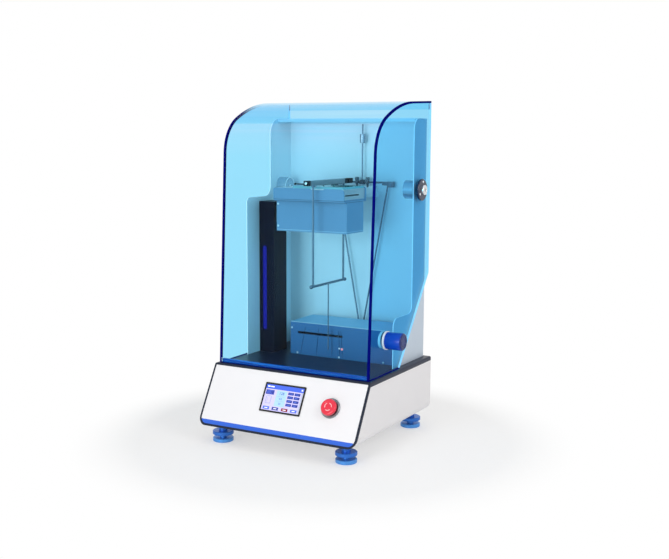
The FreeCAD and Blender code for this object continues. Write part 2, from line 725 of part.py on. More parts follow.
def tower_back():
    """Rear wall, folded forward at the top into a cap with a short lip."""
    top = DECK_Z + TOWER_HEIGHT
    wall = block(LEFT_INNER, RIGHT_INNER, REAR_INNER, TOWER_REAR_Y, DECK_Z, top)
    cap = block(LEFT_INNER, RIGHT_INNER, CAP_FRONT_Y, REAR_INNER, top - CHEEK_SHEET, top)
    lip = block(LEFT_INNER, RIGHT_INNER, CAP_FRONT_Y, CAP_FRONT_Y + CHEEK_SHEET, top - CAP_LIP, top - CHEEK_SHEET)
    save("tower_back", wall.fuse([cap, lip]))


def hinge_point(x):
    return Vector(x, HINGE_Y, DECK_Z + HINGE_Z)


def hinge_bosses():
    """Bearing blocks on the inner faces of the cheeks."""
    left = rod(HINGE_BOSS_R, hinge_point(LEFT_INNER), hinge_point(LEFT_INNER + HINGE_BOSS_LENGTH))
    right = rod(HINGE_BOSS_R, hinge_point(RIGHT_INNER - HINGE_BOSS_LENGTH), hinge_point(RIGHT_INNER))
    bore_depth = HINGE_BOSS_LENGTH - HINGE_BOSS_END
    left = left.cut(rod(HINGE_PIN_R, hinge_point(LEFT_INNER), hinge_point(LEFT_INNER + bore_depth)))
    right = right.cut(rod(HINGE_PIN_R, hinge_point(RIGHT_INNER - bore_depth), hinge_point(RIGHT_INNER)))
    save("hinge_bosses", Part.makeCompound([left, right]))


def hinge_pins():
    """Pins fixed in the bosses, each closed outside the hood by a bright cap."""
    bore_depth = HINGE_BOSS_LENGTH - HINGE_BOSS_END
    pins = []
    for side, inner in ((-1, -LEFT_INNER), (1, RIGHT_INNER)):
        start = side * HINGE_CAP_START
        end = side * (HINGE_CAP_START + HINGE_CAP_THICK)
        pin = rod(HINGE_PIN_R, hinge_point(side * (inner - bore_depth)), hinge_point(start))
        cap = rod(HINGE_CAP_R, hinge_point(start), hinge_point(end))
        rim = [edge for edge in cap.Edges if edge.Closed and abs(edge.BoundBox.Center.x - end) < 0.01]
        pins.append(pin.fuse(cap.makeChamfer(HINGE_CAP_CHAMFER, rim[:1])))
    save("hinge_pins", Part.makeCompound(pins))


# Column and specimen table


def column_span():
    return LEFT_INNER, LEFT_INNER + COLUMN_WIDTH


def strip_span():
    left, right = column_span()
    return left + STRIP_INSET, left + STRIP_INSET + STRIP_WIDTH


def column_cover():
    """Hollow black cover with a slot for the light strip and a window for the arm."""
    x0, x1 = column_span()
    y0 = COLUMN_FRONT_Y
    y1 = y0 + COLUMN_DEPTH
    top = DECK_Z + COLUMN_HEIGHT
    cover = block(x0, x1, y0, y1, DECK_Z, top)
    cover = cover.cut(block(x0 + COLUMN_WALL, x1 - COLUMN_WALL, y0 + COLUMN_WALL, y1 - COLUMN_WALL,
                            DECK_Z - 1, top - COLUMN_WALL))
    s0, s1 = strip_span()
    radius = STRIP_WIDTH / 2 - ROUND_END_LAND
    slot = plate_y(rectangle(s0, s1, DECK_Z + STRIP_LOW, DECK_Z + STRIP_HIGH, radius), y0 - 1, y0 + COLUMN_WALL)
    window = block(x1 - COLUMN_WALL - 1, x1 + 1, ARM_FRONT_Y - ARM_CLEARANCE, ARM_FRONT_Y + ARM_DEPTH + ARM_CLEARANCE,
                   DECK_Z + ARM_LOW - ARM_CLEARANCE, DECK_Z + ARM_LOW + ARM_HEIGHT + ARM_CLEARANCE)
    save("column_cover", cover.cut(slot).cut(window))


def column_light_strip():
    """Blue translucent strip let into the front of the column."""
    s0, s1 = strip_span()
    radius = STRIP_WIDTH / 2 - ROUND_END_LAND
    strip = plate_y(rectangle(s0, s1, DECK_Z + STRIP_LOW, DECK_Z + STRIP_HIGH, radius),
                    COLUMN_FRONT_Y, COLUMN_FRONT_Y + COLUMN_WALL)
    save("column_light_strip", strip)


def table_bracket():
    """Steel post inside the column with the arm that carries the table."""
    x0, x1 = column_span()
    left = x0 + POST_INSET
    post = block(left, left + POST_WIDTH, POST_FRONT_Y, POST_FRONT_Y + POST_DEPTH,
                 DECK_Z, DECK_Z + COLUMN_HEIGHT - COLUMN_WALL)
    arm = block(left, TABLE_LEFT, ARM_FRONT_Y, ARM_FRONT_Y + ARM_DEPTH,
                DECK_Z + ARM_LOW, DECK_Z + ARM_LOW + ARM_HEIGHT)
    save("table_bracket", post.fuse(arm))


def table_box():
    """Open-topped sheet box under the tray, with a flange round its top edge."""
    y1 = BOX_FRONT_Y + BOX_DEPTH
    low = DECK_Z + BOX_BOTTOM
    high = DECK_Z + TRAY_BOTTOM
    box = block(TABLE_LEFT, TABLE_RIGHT, BOX_FRONT_Y, y1, low, high)
    box = box.fuse(block(TABLE_LEFT, TABLE_RIGHT, TRAY_FRONT_Y + BOX_FLANGE_INSET,
                         TRAY_FRONT_Y + TRAY_DEPTH - BOX_FLANGE_INSET, high - BOX_FLANGE_THICK, high))
    hollow = block(TABLE_LEFT + BOX_WALL, TABLE_RIGHT - BOX_WALL, BOX_FRONT_Y + BOX_WALL, y1 - BOX_WALL,
                   low + BOX_WALL, high + 1)
    save("table_box", box.cut(hollow))


def apron_outline(top):
    radius = APRON_CORNER_R
    return [(TABLE_LEFT, DECK_Z + TRAY_BOTTOM, 0.0), (TABLE_RIGHT, DECK_Z + TRAY_BOTTOM, 0.0),
            (TABLE_RIGHT, top, radius), (TABLE_LEFT, top, radius / 2)]


def table_tray():
    """Shallow tray: a floor with a front and a rear apron, the front one dipped under the pendulum."""
    y0 = TRAY_FRONT_Y
    y1 = y0 + TRAY_DEPTH
    low = DECK_Z + TRAY_BOTTOM
    floor = block(TABLE_LEFT, TABLE_RIGHT, y0, y1, low, low + TRAY_SHEET)
    top = DECK_Z + PIVOT_Z - APRON_FRONT_DROP
    front = plate_y(apron_outline(top), y0, y0 + TRAY_SHEET)
    dip = plate_y([(PIVOT_X - APRON_DIP_HALF, top - APRON_DIP, APRON_DIP), (PIVOT_X + APRON_DIP_HALF,
                   top - APRON_DIP, APRON_DIP), (PIVOT_X + APRON_DIP_HALF, top + APRON_DIP, 0.0),
                   (PIVOT_X - APRON_DIP_HALF, top + APRON_DIP, 0.0)], y0 - 1, y0 + TRAY_SHEET + 1)
    rear = plate_y(apron_outline(DECK_Z + PIVOT_Z - APRON_REAR_DROP), y1 - TRAY_SHEET, y1)
    save("table_tray", floor.fuse([front.cut(dip), rear]))


def platform():
    """Metal block on the tray floor that the test plate lies on, slotted at its right end."""
    low = DECK_Z + TRAY_BOTTOM + TRAY_SHEET
    high = DECK_Z + GLASS_TOP - GLASS_THICK
    y0 = TRAY_FRONT_Y + TRAY_SHEET
    y1 = TRAY_FRONT_Y + TRAY_DEPTH - TRAY_SHEET
    slab = block(TABLE_LEFT + TRAY_SHEET, TABLE_RIGHT - TRAY_SHEET, y0, y1, low, high)
    slot = block(TABLE_RIGHT - SLOT_LENGTH, TABLE_RIGHT, y0 + SLOT_FRONT_INSET, y1 - SLOT_REAR_INSET,
                 low + SLOT_LIFT, low + SLOT_LIFT + SLOT_HEIGHT)
    save("table_platform", slab.cut(slot))


def glass_plate():
    y0 = TRAY_FRONT_Y + TRAY_SHEET + GLASS_SIDE_GAP
    y1 = TRAY_FRONT_Y + TRAY_DEPTH - TRAY_SHEET - GLASS_SIDE_GAP
    top = DECK_Z + GLASS_TOP
    save("glass_plate", block(GLASS_LEFT, TABLE_RIGHT - TRAY_SHEET - GLASS_SIDE_GAP, y0, y1, top - GLASS_THICK, top))


# Scale housing


def scale_face():
    """Front plate with the pin's slot and a groove at each marked angle."""
    y0 = SCALE_FRONT_Y
    y1 = y0 + SCALE_PLATE
    plate = block(SCALE_LEFT, RIGHT_INNER, y0, y1, DECK_Z, DECK_Z + SCALE_HEIGHT)
    z = DECK_Z + WINDOW_Z
    half = WINDOW_HEIGHT / 2
    slot = plate_y(rectangle(WINDOW_LEFT, WINDOW_RIGHT, z - half, z + half, half - ROUND_END_LAND), y0 - 1,
                   y1 + 1)
    plate = plate.cut(slot)
    for mark in SCALE_MARKS:
        lean = math.tan(math.radians(mark))
        low = Vector(PIVOT_X + (SWING_Z - LINE_LOW) * lean, 0, DECK_Z + LINE_LOW)
        high = Vector(PIVOT_X + (SWING_Z - LINE_HIGH) * lean, 0, DECK_Z + LINE_HIGH)
        w = LINE_WIDTH / 2
        corners = [(low.x - w, low.z, 0.0), (low.x + w, low.z, 0.0), (high.x + w, high.z, 0.0),
                   (high.x - w, high.z, 0.0)]
        plate = plate.cut(plate_y(corners, y0 - 1, y0 + LINE_DEPTH))
    x, z = led_place()
    plate = plate.cut(rod(LED_R, Vector(x, y0 - 1, z), Vector(x, y1 + 1, z)))
    save("scale_face", plate)


def led_place():
    lean = math.tan(math.radians(SCALE_MARKS[-1]))
    return PIVOT_X + (SWING_Z - LED_Z) * lean, DECK_Z + LED_Z


def angle_sensor():
    """Light sensor that looks out of the scale plate beside the last line."""
    x, z = led_place()
    y0 = SCALE_FRONT_Y
    y1 = y0 + SCALE_PLATE
    lens = rod(LED_R, Vector(x, y0 - LED_PROUD, z), Vector(x, y1, z))
    body = block(x - SENSOR_HALF_WIDTH, x + SENSOR_HALF_WIDTH, y1, y1 + SENSOR_DEPTH,
                 z - SENSOR_HALF_HEIGHT, z + SENSOR_HALF_HEIGHT)
    save("angle_sensor", lens.fuse(body))


def scale_cover():
    """Folded cover: top, left end and back of the scale housing."""
    x0 = SCALE_LEFT
    y0 = SCALE_FRONT_Y + SCALE_PLATE
    y1 = SCALE_REAR_Y
    top = DECK_Z + SCALE_HEIGHT
    cover = block(x0, RIGHT_INNER, y0, y1, DECK_Z, top)
    hollow = block(x0 + SCALE_WALL, RIGHT_INNER + 1, y0 - 1, y1 - SCALE_WALL, DECK_Z - 1, top - SCALE_WALL)
    save("scale_cover", cover.cut(hollow))


def carriage_span():
    return PIN_X - CARRIAGE_WIDTH / 2, PIN_X + CARRIAGE_WIDTH / 2


def guide_lines():
    """Radius and place in Y of the two guide rods and the screw between them."""
    middle = (GUIDE_FRONT_Y + GUIDE_REAR_Y) / 2
    return ((GUIDE_R, GUIDE_FRONT_Y), (GUIDE_R, GUIDE_REAR_Y), (SCREW_R, middle))


def release_guide():
    """Two end brackets on the deck, two guide rods, a lead screw and its motor."""
    y0 = CARRIAGE_FRONT_Y
    y1 = y0 + CARRIAGE_DEPTH
    top = DECK_Z + CARRIAGE_LOW + CARRIAGE_HEIGHT
    z = DECK_Z + GUIDE_Z
    left = block(GUIDE_LEFT, GUIDE_LEFT + BRACKET, y0, y1, DECK_Z, top)
    right = block(GUIDE_RIGHT - BRACKET, GUIDE_RIGHT, y0, y1, DECK_Z, top)
    pieces = []
    for radius, y in guide_lines():
        bar = rod(radius, Vector(GUIDE_LEFT, y, z), Vector(GUIDE_RIGHT, y, z))
        left = left.cut(bar)
        right = right.cut(bar)
        pieces.append(bar)
    middle = (y0 + y1) / 2
    half = MOTOR_SIDE / 2
    motor = block(GUIDE_RIGHT, GUIDE_RIGHT + MOTOR_LENGTH, middle - half, middle + half, z - half, z + half)
    save("release_guide", Part.makeCompound([left, right, motor] + pieces))


def release_carriage():
    """Block that travels on the guide rods behind the slot."""
    x0, x1 = carriage_span()
    y0 = CARRIAGE_FRONT_Y
    y1 = y0 + CARRIAGE_DEPTH
    low = DECK_Z + CARRIAGE_LOW
    carriage = block(x0, x1, y0, y1, low, low + CARRIAGE_HEIGHT)
    for radius, y in guide_lines():
        carriage = carriage.cut(rod(radius + RUN_GAP, Vector(x0 - 1, y, DECK_Z + GUIDE_Z),
                                    Vector(x1 + 1, y, DECK_Z + GUIDE_Z)))
    z = DECK_Z + WINDOW_Z
    carriage = carriage.cut(rod(PIN_R + RUN_GAP, Vector(PIN_X, y0 - 1, z), Vector(PIN_X, y1 + 1, z)))
    save("release_carriage", carriage)


def release_pin():
    """Pin drawn back at rest, its nose level with the scale plate."""
    z = DECK_Z + WINDOW_Z
    back = CARRIAGE_FRONT_Y + CARRIAGE_DEPTH - 1
    pin = rod(PIN_R, Vector(PIN_X, SCALE_FRONT_Y, z), Vector(PIN_X, back, z))
    save("release_pin", pin)


def cover_screws():
    """Heads of the small screws that hold the scale plate, the table box and the rear panel."""
    heads = []

    def head(x, y, z, way):
        heads.append(rod(SCREW_HEAD_R, Vector(x, y, z), Vector(x, y + way * SCREW_HEAD_HEIGHT, z)))
    for x in (SCALE_LEFT + SCREW_EDGE, RIGHT_INNER - SCREW_EDGE):
        head(x, SCALE_FRONT_Y, DECK_Z + SCALE_HEIGHT - FACE_SCREW_DROP, -1)
    for x in (SCALE_LEFT + FACE_SCREW_LEFT, PIVOT_X + FACE_SCREW_LEFT, RIGHT_INNER - FACE_SCREW_RIGHT):
        head(x, SCALE_FRONT_Y, DECK_Z + SCREW_EDGE, -1)
    for z in (BOX_BOTTOM + BOX_SCREW_INSET, TRAY_BOTTOM - BOX_SCREW_INSET):
        head(TABLE_LEFT + SCREW_EDGE, BOX_FRONT_Y, DECK_Z + z, -1)
    wall = DECK_DEPTH - REAR_PANEL_SINK
    for x in (REAR_SCREW_INSET - HALF, 0.0, HALF - REAR_SCREW_INSET):
        for z in (FOOT_HEIGHT + REAR_SCREW_LIFT, DECK_Z - DECK_THICK - BOX_SCREW_INSET):
            head(x, wall, z, 1)
    save("cover_screws", Part.makeCompound(heads))


# Heavy pendulum


def heavy_point(y, z):
    return Vector(PIVOT_X, y, DECK_Z + z)


def heavy_ball_shapes():
    return [ball(BALL_R, heavy_point(PIVOT_Y + side * HEAVY_BALL_HALF, SWING_Z)) for side in (-1, 1)]


def heavy_pendulum():
    """Bar over the specimen, two hanging rods joined by a crossbar, and one pointer rod below."""
    low = DECK_Z + PIVOT_Z + BAR_LIFT
    high = low + BAR_THICK
    bar = block(PIVOT_X - BAR_HALF_WIDTH, PIVOT_X + BAR_HALF_WIDTH, BAR_FRONT_Y, BAR_REAR_Y, low, high)
    long_edges = [e for e in bar.Edges if e.Length > BAR_REAR_Y - BAR_FRONT_Y - 1]
    bar = bar.makeChamfer(BAR_CHAMFER, long_edges)
    for shape in heavy_ball_shapes():
        bar = bar.cut(shape)
    stub_y = FRAME_FRONT_Y + STUB_OFFSET
    bar = bar.fuse(rod(STUB_R, Vector(PIVOT_X, stub_y, low - STUB_LENGTH), Vector(PIVOT_X, stub_y, low)))
    save("heavy_bar", bar)
    save("heavy_balls", Part.makeCompound(heavy_ball_shapes()))

    half = END_BLOCK / 2
    nose = block(PIVOT_X - half, PIVOT_X + half, BAR_FRONT_Y - END_BLOCK_LENGTH, BAR_FRONT_Y, low, low + END_BLOCK)
    screw_y = BAR_FRONT_Y - END_BLOCK_LENGTH / 2
    screw_z = low + TRIM_SCREW_LIFT
    tip = PIVOT_X - half - TRIM_SCREW_LENGTH
    nose = nose.fuse(rod(TRIM_SCREW_R, Vector(tip, screw_y, screw_z), Vector(PIVOT_X, screw_y, screw_z)))
    nose = nose.fuse(rod(TRIM_HEAD_R, Vector(tip, screw_y, screw_z), Vector(tip + TRIM_HEAD_LENGTH, screw_y, screw_z)))
    clamp_end = BAR_REAR_Y + REAR_CLAMP_LENGTH
    weight_start = clamp_end + REAR_WEIGHT_GAP
    weight_end = weight_start + REAR_WEIGHT_LENGTH
    left = PIVOT_X - REAR_BLOCK_HALF
    right = PIVOT_X + REAR_BLOCK_HALF
    clamp = block(left, right, BAR_REAR_Y, clamp_end, low, high)
    weight = block(left, right, weight_start, weight_end, low, high)
    middle = (low + high) / 2
    stem = rod(REAR_STEM_R, Vector(PIVOT_X, BAR_REAR_Y + 1, middle), Vector(PIVOT_X, weight_end - 1, middle))
    save("heavy_end_blocks", Part.makeCompound([nose, clamp.fuse([weight, stem])]))

    cross = PIVOT_Z - CROSSBAR_DROP
    top = PIVOT_Z + BAR_LIFT
    frame = rod(FRAME_ROD_R, heavy_point(FRAME_FRONT_Y, cross), heavy_point(FRAME_FRONT_Y, top))
    front_end = FRAME_FRONT_Y - CROSSBAR_OVERHANG
    rear_end = FRAME_REAR_Y + CROSSBAR_OVERHANG
    frame = frame.fuse([
        rod(FRAME_ROD_R, heavy_point(FRAME_REAR_Y, cross), heavy_point(FRAME_REAR_Y, top)),
        rod(CROSSBAR_R, heavy_point(front_end, cross), heavy_point(rear_end, cross)),
        ball(KNOB_END_R, heavy_point(front_end, cross)),
        ball(KNOB_END_R, heavy_point(rear_end, cross)),
        rod(ROD_NUT_R, heavy_point(FRAME_FRONT_Y, top - ROD_NUT_HEIGHT), heavy_point(FRAME_FRONT_Y, top))])
    save("heavy_frame", frame)

    tip_z = PIVOT_Z - POINTER_LENGTH
    point = tip_z + POINT_LENGTH
    pointer = rod(POINTER_R, heavy_point(PIVOT_Y, point), heavy_point(PIVOT_Y, cross))
    pointer = pointer.fuse(taper(TIP_R, POINTER_R, heavy_point(PIVOT_Y, tip_z), heavy_point(PIVOT_Y, point)))
    pointer = pointer.cut(rod(CROSSBAR_R, heavy_point(front_end, cross), heavy_point(rear_end, cross)))
    save("heavy_pointer", pointer)


# Light pendulum


def light_point(x, z):
    return Vector(STORE_X + x, STORE_Y, DECK_Z + z)


def light_pendulum():
    """Crossbar on two ball pins, two rods that meet below it, and a rod with a sliding weight above."""
    bar_z = STORE_Z + LIGHT_BAR_LIFT
    bar = rod(LIGHT_BAR_R, light_point(-LIGHT_HALF_SPAN, bar_z), light_point(LIGHT_HALF_SPAN, bar_z))
    half = LIGHT_BLOCK_HALF
    centre = block(STORE_X - half, STORE_X + half, STORE_Y - half, STORE_Y + half,
                   DECK_Z + bar_z - half, DECK_Z + bar_z + half)
    bar = bar.fuse(centre)
    for side in (-1, 1):
        outer = STORE_X + side * LIGHT_HALF_SPAN
        inner = outer - side * LIGHT_BLOCK_LENGTH
        neck = outer - side * LIGHT_BLOCK_LENGTH / 2
        bar = bar.fuse(block(min(outer, neck), max(outer, neck), STORE_Y - half, STORE_Y + half,
                             DECK_Z + bar_z - 2 * half, DECK_Z + bar_z + half * 0.5))
        bar = bar.fuse(block(min(neck, inner), max(neck, inner), STORE_Y - CLAMP_HALF_DEPTH,
                             STORE_Y + CLAMP_HALF_DEPTH, DECK_Z + bar_z - CLAMP_DROP, DECK_Z + bar_z + CLAMP_RISE))
    pins = []
    for side in (-1, 1):
        x = side * LIGHT_BALL_HALF
        centre_z = STORE_Z + BALL_R
        under = bar_z - PIN_BLOCK_HALF
        over = bar_z + PIN_BLOCK_HALF
        bar = bar.fuse(block(STORE_X + x - PIN_BLOCK_HALF, STORE_X + x + PIN_BLOCK_HALF, STORE_Y - PIN_BLOCK_HALF,
                             STORE_Y + PIN_BLOCK_HALF, DECK_Z + under, DECK_Z + over))
        pin = taper(BALL_R * 0.7, PIN_BLOCK_HALF, light_point(x, centre_z), light_point(x, under))
        pin = pin.fuse([ball(BALL_R, light_point(x, centre_z)),
                        rod(PIN_SHANK_R, light_point(x, centre_z), light_point(x, over)),
                        rod(THUMB_R, light_point(x, over), light_point(x, over + THUMB_HEIGHT))])
        bar = bar.cut(pin)
        pins.append(pin)
    save("light_ball_pins", Part.makeCompound(pins))

    rods = []
    for side in (-1, 1):
        rods.append(rod(V_ROD_R, light_point(side * V_TOP_HALF, bar_z - LIGHT_BLOCK_HALF),
                        light_point(side * V_FOOT_HALF, V_FOOT_Z)))
    apex_half = V_FOOT_HALF + APEX_SIDE
    apex = block(STORE_X - apex_half, STORE_X + apex_half, STORE_Y - APEX_HALF_DEPTH, STORE_Y + APEX_HALF_DEPTH,
                 DECK_Z + V_FOOT_Z - APEX_DROP, DECK_Z + V_FOOT_Z + APEX_RISE)
    tip = taper(TIP_R, POINTER_R, light_point(0, LIGHT_TIP_Z), light_point(0, V_FOOT_Z - APEX_DROP))
    v_frame = rods[0].fuse([rods[1], apex, tip])
    save("light_frame", v_frame)
    counter = rod(COUNTER_ROD_R, light_point(0, bar_z), light_point(0, COUNTER_ROD_TOP))
    bar = bar.cut(v_frame)
    save("light_crossbar", bar.cut(counter))
    save("light_counter_rod", counter)

    weight = rod(WEIGHT_R, light_point(0, WEIGHT_LOW), light_point(0, WEIGHT_LOW + WEIGHT_LENGTH))
    weight = weight.makeChamfer(WEIGHT_CHAMFER, [edge for edge in weight.Edges if edge.Closed])
    bore = rod(COUNTER_ROD_R + RUN_GAP, light_point(0, WEIGHT_LOW - 1), light_point(0, WEIGHT_LOW + WEIGHT_LENGTH + 1))
    save("light_counterweight", weight.cut(bore))


def storage_hanger():
    """Folded bracket on the rear wall; the light pendulum's ball pins lie in its two notches."""
    x0 = STORE_X - HANGER_HALF
    x1 = STORE_X + HANGER_HALF
    top = DECK_Z + HANGER_TOP
    low = top - HANGER_HEIGHT
    front = STORE_Y - HANGER_SHEET / 2
    hanger = block(x0, x1, front, front + HANGER_SHEET, low, top)
    for x in (x0, x1 - HANGER_SHEET):
        hanger = hanger.fuse(block(x, x + HANGER_SHEET, front, REAR_INNER, low, top - HANGER_SHEET))
    notch_floor = DECK_Z + STORE_Z + BALL_R - (BALL_R + AIR_GAP) * math.sqrt(2)
    wide = top - notch_floor + 1.0
    for side in (-1, 1):
        x = STORE_X + side * LIGHT_BALL_HALF
        notch = [(x, notch_floor, 0.0), (x + wide, notch_floor + wide, 0.0), (x - wide, notch_floor + wide, 0.0)]
        hanger = hanger.cut(plate_y(notch, front - 1, front + HANGER_SHEET + 1))
    save("storage_hanger", hanger)


# Hood


def slanted(start, end, inset):
    """A line in the side view, moved inwards by the inset, as a point and a direction."""
    along = Vector(end[0] - start[0], end[1] - start[1], 0).normalize()
    inwards = Vector(along.y, -along.x, 0)
    return Vector(start[0], DECK_Z + start[1], 0) + inwards * inset, along


def level(z):
    return Vector(0, z, 0), Vector(1, 0, 0)


def upright(y):
    return Vector(y, 0, 0), Vector(0, 1, 0)


def crossing(first, second):
    """Where two lines of the side view meet."""
    p, d = first
    q, e = second
    reach = ((q.x - p.x) * e.y - (q.y - p.y) * e.x) / (d.x * e.y - d.y * e.x)
    return p.x + d.x * reach, p.y + d.y * reach


def hood_lines(inset):
    """Front, brow and top of the hood in the side view."""
    foot = (HOOD_FOOT_Y, 0.0)
    brow = (HOOD_BROW_Y, HOOD_BROW_Z)
    crown = (HOOD_CROWN_Y, HOOD_CROWN_Z)
    back = (HOOD_REAR_Y, HOOD_HEIGHT)
    return slanted(foot, brow, inset), slanted(brow, crown, inset), slanted(crown, back, inset)


def hood_curve(inset):
    """The bent outline from the foot of the front to the back of the top, with its two radii."""
    front, brow, top = hood_lines(inset)
    foot = crossing(level(DECK_Z + AIR_GAP), front)
    return [(foot[0], foot[1], 0.0), crossing(front, brow) + (HOOD_BROW_R - inset,),
            crossing(brow, top) + (HOOD_CROWN_R - inset,), crossing(top, upright(HOOD_REAR_Y)) + (0.0,)]


def hood_sheets():
    """One sheet bent over front and top, and a flat sheet glued inside it at each side."""
    sheet = hood_curve(0.0) + hood_curve(HOOD_SHEET)[::-1]
    save("hood_front_sheet", plate_x(sheet, -HOOD_X, HOOD_X))
    side = hood_curve(HOOD_SHEET)
    side += [(HOOD_REAR_Y, DECK_Z + CHAMFER_TOP, 0.0), (CHAMFER_FOOT_Y, DECK_Z + AIR_GAP, 0.0)]
    bore = rod(HINGE_HUB_R, hinge_point(-BASE_WIDTH), hinge_point(BASE_WIDTH))
    knob_hole = rod(KNOB_STUD_R, knob_point(0), knob_point(BASE_WIDTH))
    save("hood_left_side", plate_x(side, -HOOD_X, -HOOD_INNER_X).cut(bore))
    save("hood_right_side", plate_x(side, HOOD_INNER_X, HOOD_X).cut(bore).cut(knob_hole))


def hood_rails():
    """Stiffening strips glued inside the hood, under the rear of its top and at the foot of its front."""
    top = hood_lines(HOOD_SHEET)[2]
    under = hood_lines(HOOD_SHEET + REAR_RAIL_HEIGHT)[2]
    inner = upright(HOOD_REAR_Y - RAIL_THICK)
    outer = upright(HOOD_REAR_Y)
    corners = [crossing(under, inner), crossing(under, outer), crossing(top, outer), crossing(top, inner)]
    rear = plate_x([corner + (0.0,) for corner in corners], -HOOD_INNER_X, HOOD_INNER_X)
    save("hood_rear_rail", rear)
    face = hood_lines(HOOD_SHEET)[0]
    back = hood_lines(HOOD_SHEET + RAIL_THICK)[0]
    low = level(DECK_Z + AIR_GAP)
    high = level(DECK_Z + AIR_GAP + BOTTOM_RAIL_HEIGHT)
    corners = [crossing(low, face), crossing(low, back), crossing(high, back), crossing(high, face)]
    front = plate_x([corner + (0.0,) for corner in corners], -HOOD_INNER_X, HOOD_INNER_X)
    save("hood_bottom_rail", front)


def hinge_discs():
    """Black discs outside the hood, each with a hub through the sheet that turns on the pin."""
    discs = []
    screws = []
    for side in (-1, 1):
        inner = side * (HOOD_INNER_X - HINGE_HUB_PROUD)
        face = side * HOOD_X
        outer = side * (HOOD_X + HINGE_DISC_THICK)
        disc = rod(HINGE_DISC_R, hinge_point(face), hinge_point(outer))
        rim = [edge for edge in disc.Edges if edge.Closed and abs(edge.BoundBox.Center.x - outer) < 0.01]
        disc = disc.makeChamfer(HINGE_DISC_CHAMFER, rim[:1])
        disc = disc.fuse(rod(HINGE_HUB_R, hinge_point(inner), hinge_point(face)))
        discs.append(disc.cut(rod(HINGE_PIN_R + RUN_GAP, hinge_point(inner - side), hinge_point(outer + side))))
        for turn in (90.0, 210.0, 330.0):
            angle = math.radians(turn)
            offset = Vector(0, DISC_SCREW_CIRCLE * math.cos(angle), DISC_SCREW_CIRCLE * math.sin(angle))
            head = side * DISC_SCREW_HEAD
            screws.append(rod(DISC_SCREW_R, hinge_point(outer) + offset, hinge_point(outer + head) + offset))
    save("hinge_discs", Part.makeCompound(discs))
    save("hinge_disc_screws", Part.makeCompound(screws))


def knob_point(x):
    return Vector(x, KNOB_Y, DECK_Z + KNOB_Z)


def lift_knob():
    """Knob outside the right sheet, with its bright ring outside and its nut inside."""
    ring_end = HOOD_X + KNOB_RING_THICK
    knob = rod(KNOB_R, knob_point(ring_end), knob_point(KNOB_END))
    rim = [edge for edge in knob.Edges if edge.Closed and abs(edge.BoundBox.Center.x - KNOB_END) < 0.01]
    knob = knob.makeFillet(KNOB_ROUND, rim[:1])
    nut_start = HOOD_INNER_X - KNOB_NUT_THICK
    stud = rod(KNOB_STUD_R, knob_point(nut_start), knob_point(ring_end))
    save("lift_knob", knob.fuse(stud))
    ring = rod(KNOB_RING_R, knob_point(HOOD_X), knob_point(ring_end)).cut(stud)
    nut = rod(KNOB_NUT_R, knob_point(nut_start), knob_point(HOOD_INNER_X)).cut(stud)
    save("knob_rings", Part.makeCompound([ring, nut]))


def write_parts():
    os.makedirs("parts", exist_ok=True)
    for name, shape in made.items():
        shape.exportStep("parts/%s.step" % name)
    print(len(made), "sub-parts written")


def report_places():
    """Print the joint places and driving results that the record repeats, in metres."""
    def metres(point):
        return [round((point.x - SHIFT_X) / 1000, 5), round((point.y - SHIFT_Y) / 1000, 5), round(point.z / 1000, 5)]
    lean = math.radians(TILT)
    print("hood hinge", metres(hinge_point(0)))
    print("heavy pivot", metres(heavy_point(PIVOT_Y, SWING_Z)))
    print("stop axis out of the panel", [0, round(-math.sin(lean), 5), round(math.cos(lean), 5)])
    print("stop place", metres(panel_point(STOP_X, STOP_DOWN, 0)))
    print("pin travel", round(PIN_TRAVEL / 1000, 5))
    for x, y in foot_places():
        print("foot", metres(Vector(x, y, 0)))
    print("shift", SHIFT_X, SHIFT_Y, "deck", DECK_Z)


def main():
    base_shell()
    deck_plate()
    front_bezel()
    front_panel()
    touch_screen()
    rear_panel()
    mains_inlet()
    control_board()
    power_supply()
    stop_button()
    foot_bushes()
    for index, (x, y) in enumerate(foot_places(), start=1):
        foot(index, x, y)
    tower_cheeks()
    tower_back()
    hinge_bosses()
    hinge_pins()
    column_cover()
    column_light_strip()
    table_bracket()
    table_box()
    table_tray()
    platform()
    glass_plate()
    scale_face()
    angle_sensor()
    scale_cover()
    release_guide()
    release_carriage()
    release_pin()
    cover_screws()
    heavy_pendulum()
    light_pendulum()
    storage_hanger()
    hood_sheets()
    hood_rails()
    hinge_discs()
    lift_knob()
    report_places()
    write_parts()


main()
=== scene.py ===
# %% [markdown]
# # A pendulum hardness tester, dressed in Blender
# The instrument rocks a weighted frame on a coated test plate, and counts its swings under a clear blue hood.
# The CAD model has every moving part already, so this lesson adds what CAD leaves out: finishes, fine pieces and light.
# Every length is in metres, in the same frame as the CAD model.

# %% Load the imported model
import json
import math

import bmesh
import bpy
from mathutils import Matrix, Vector


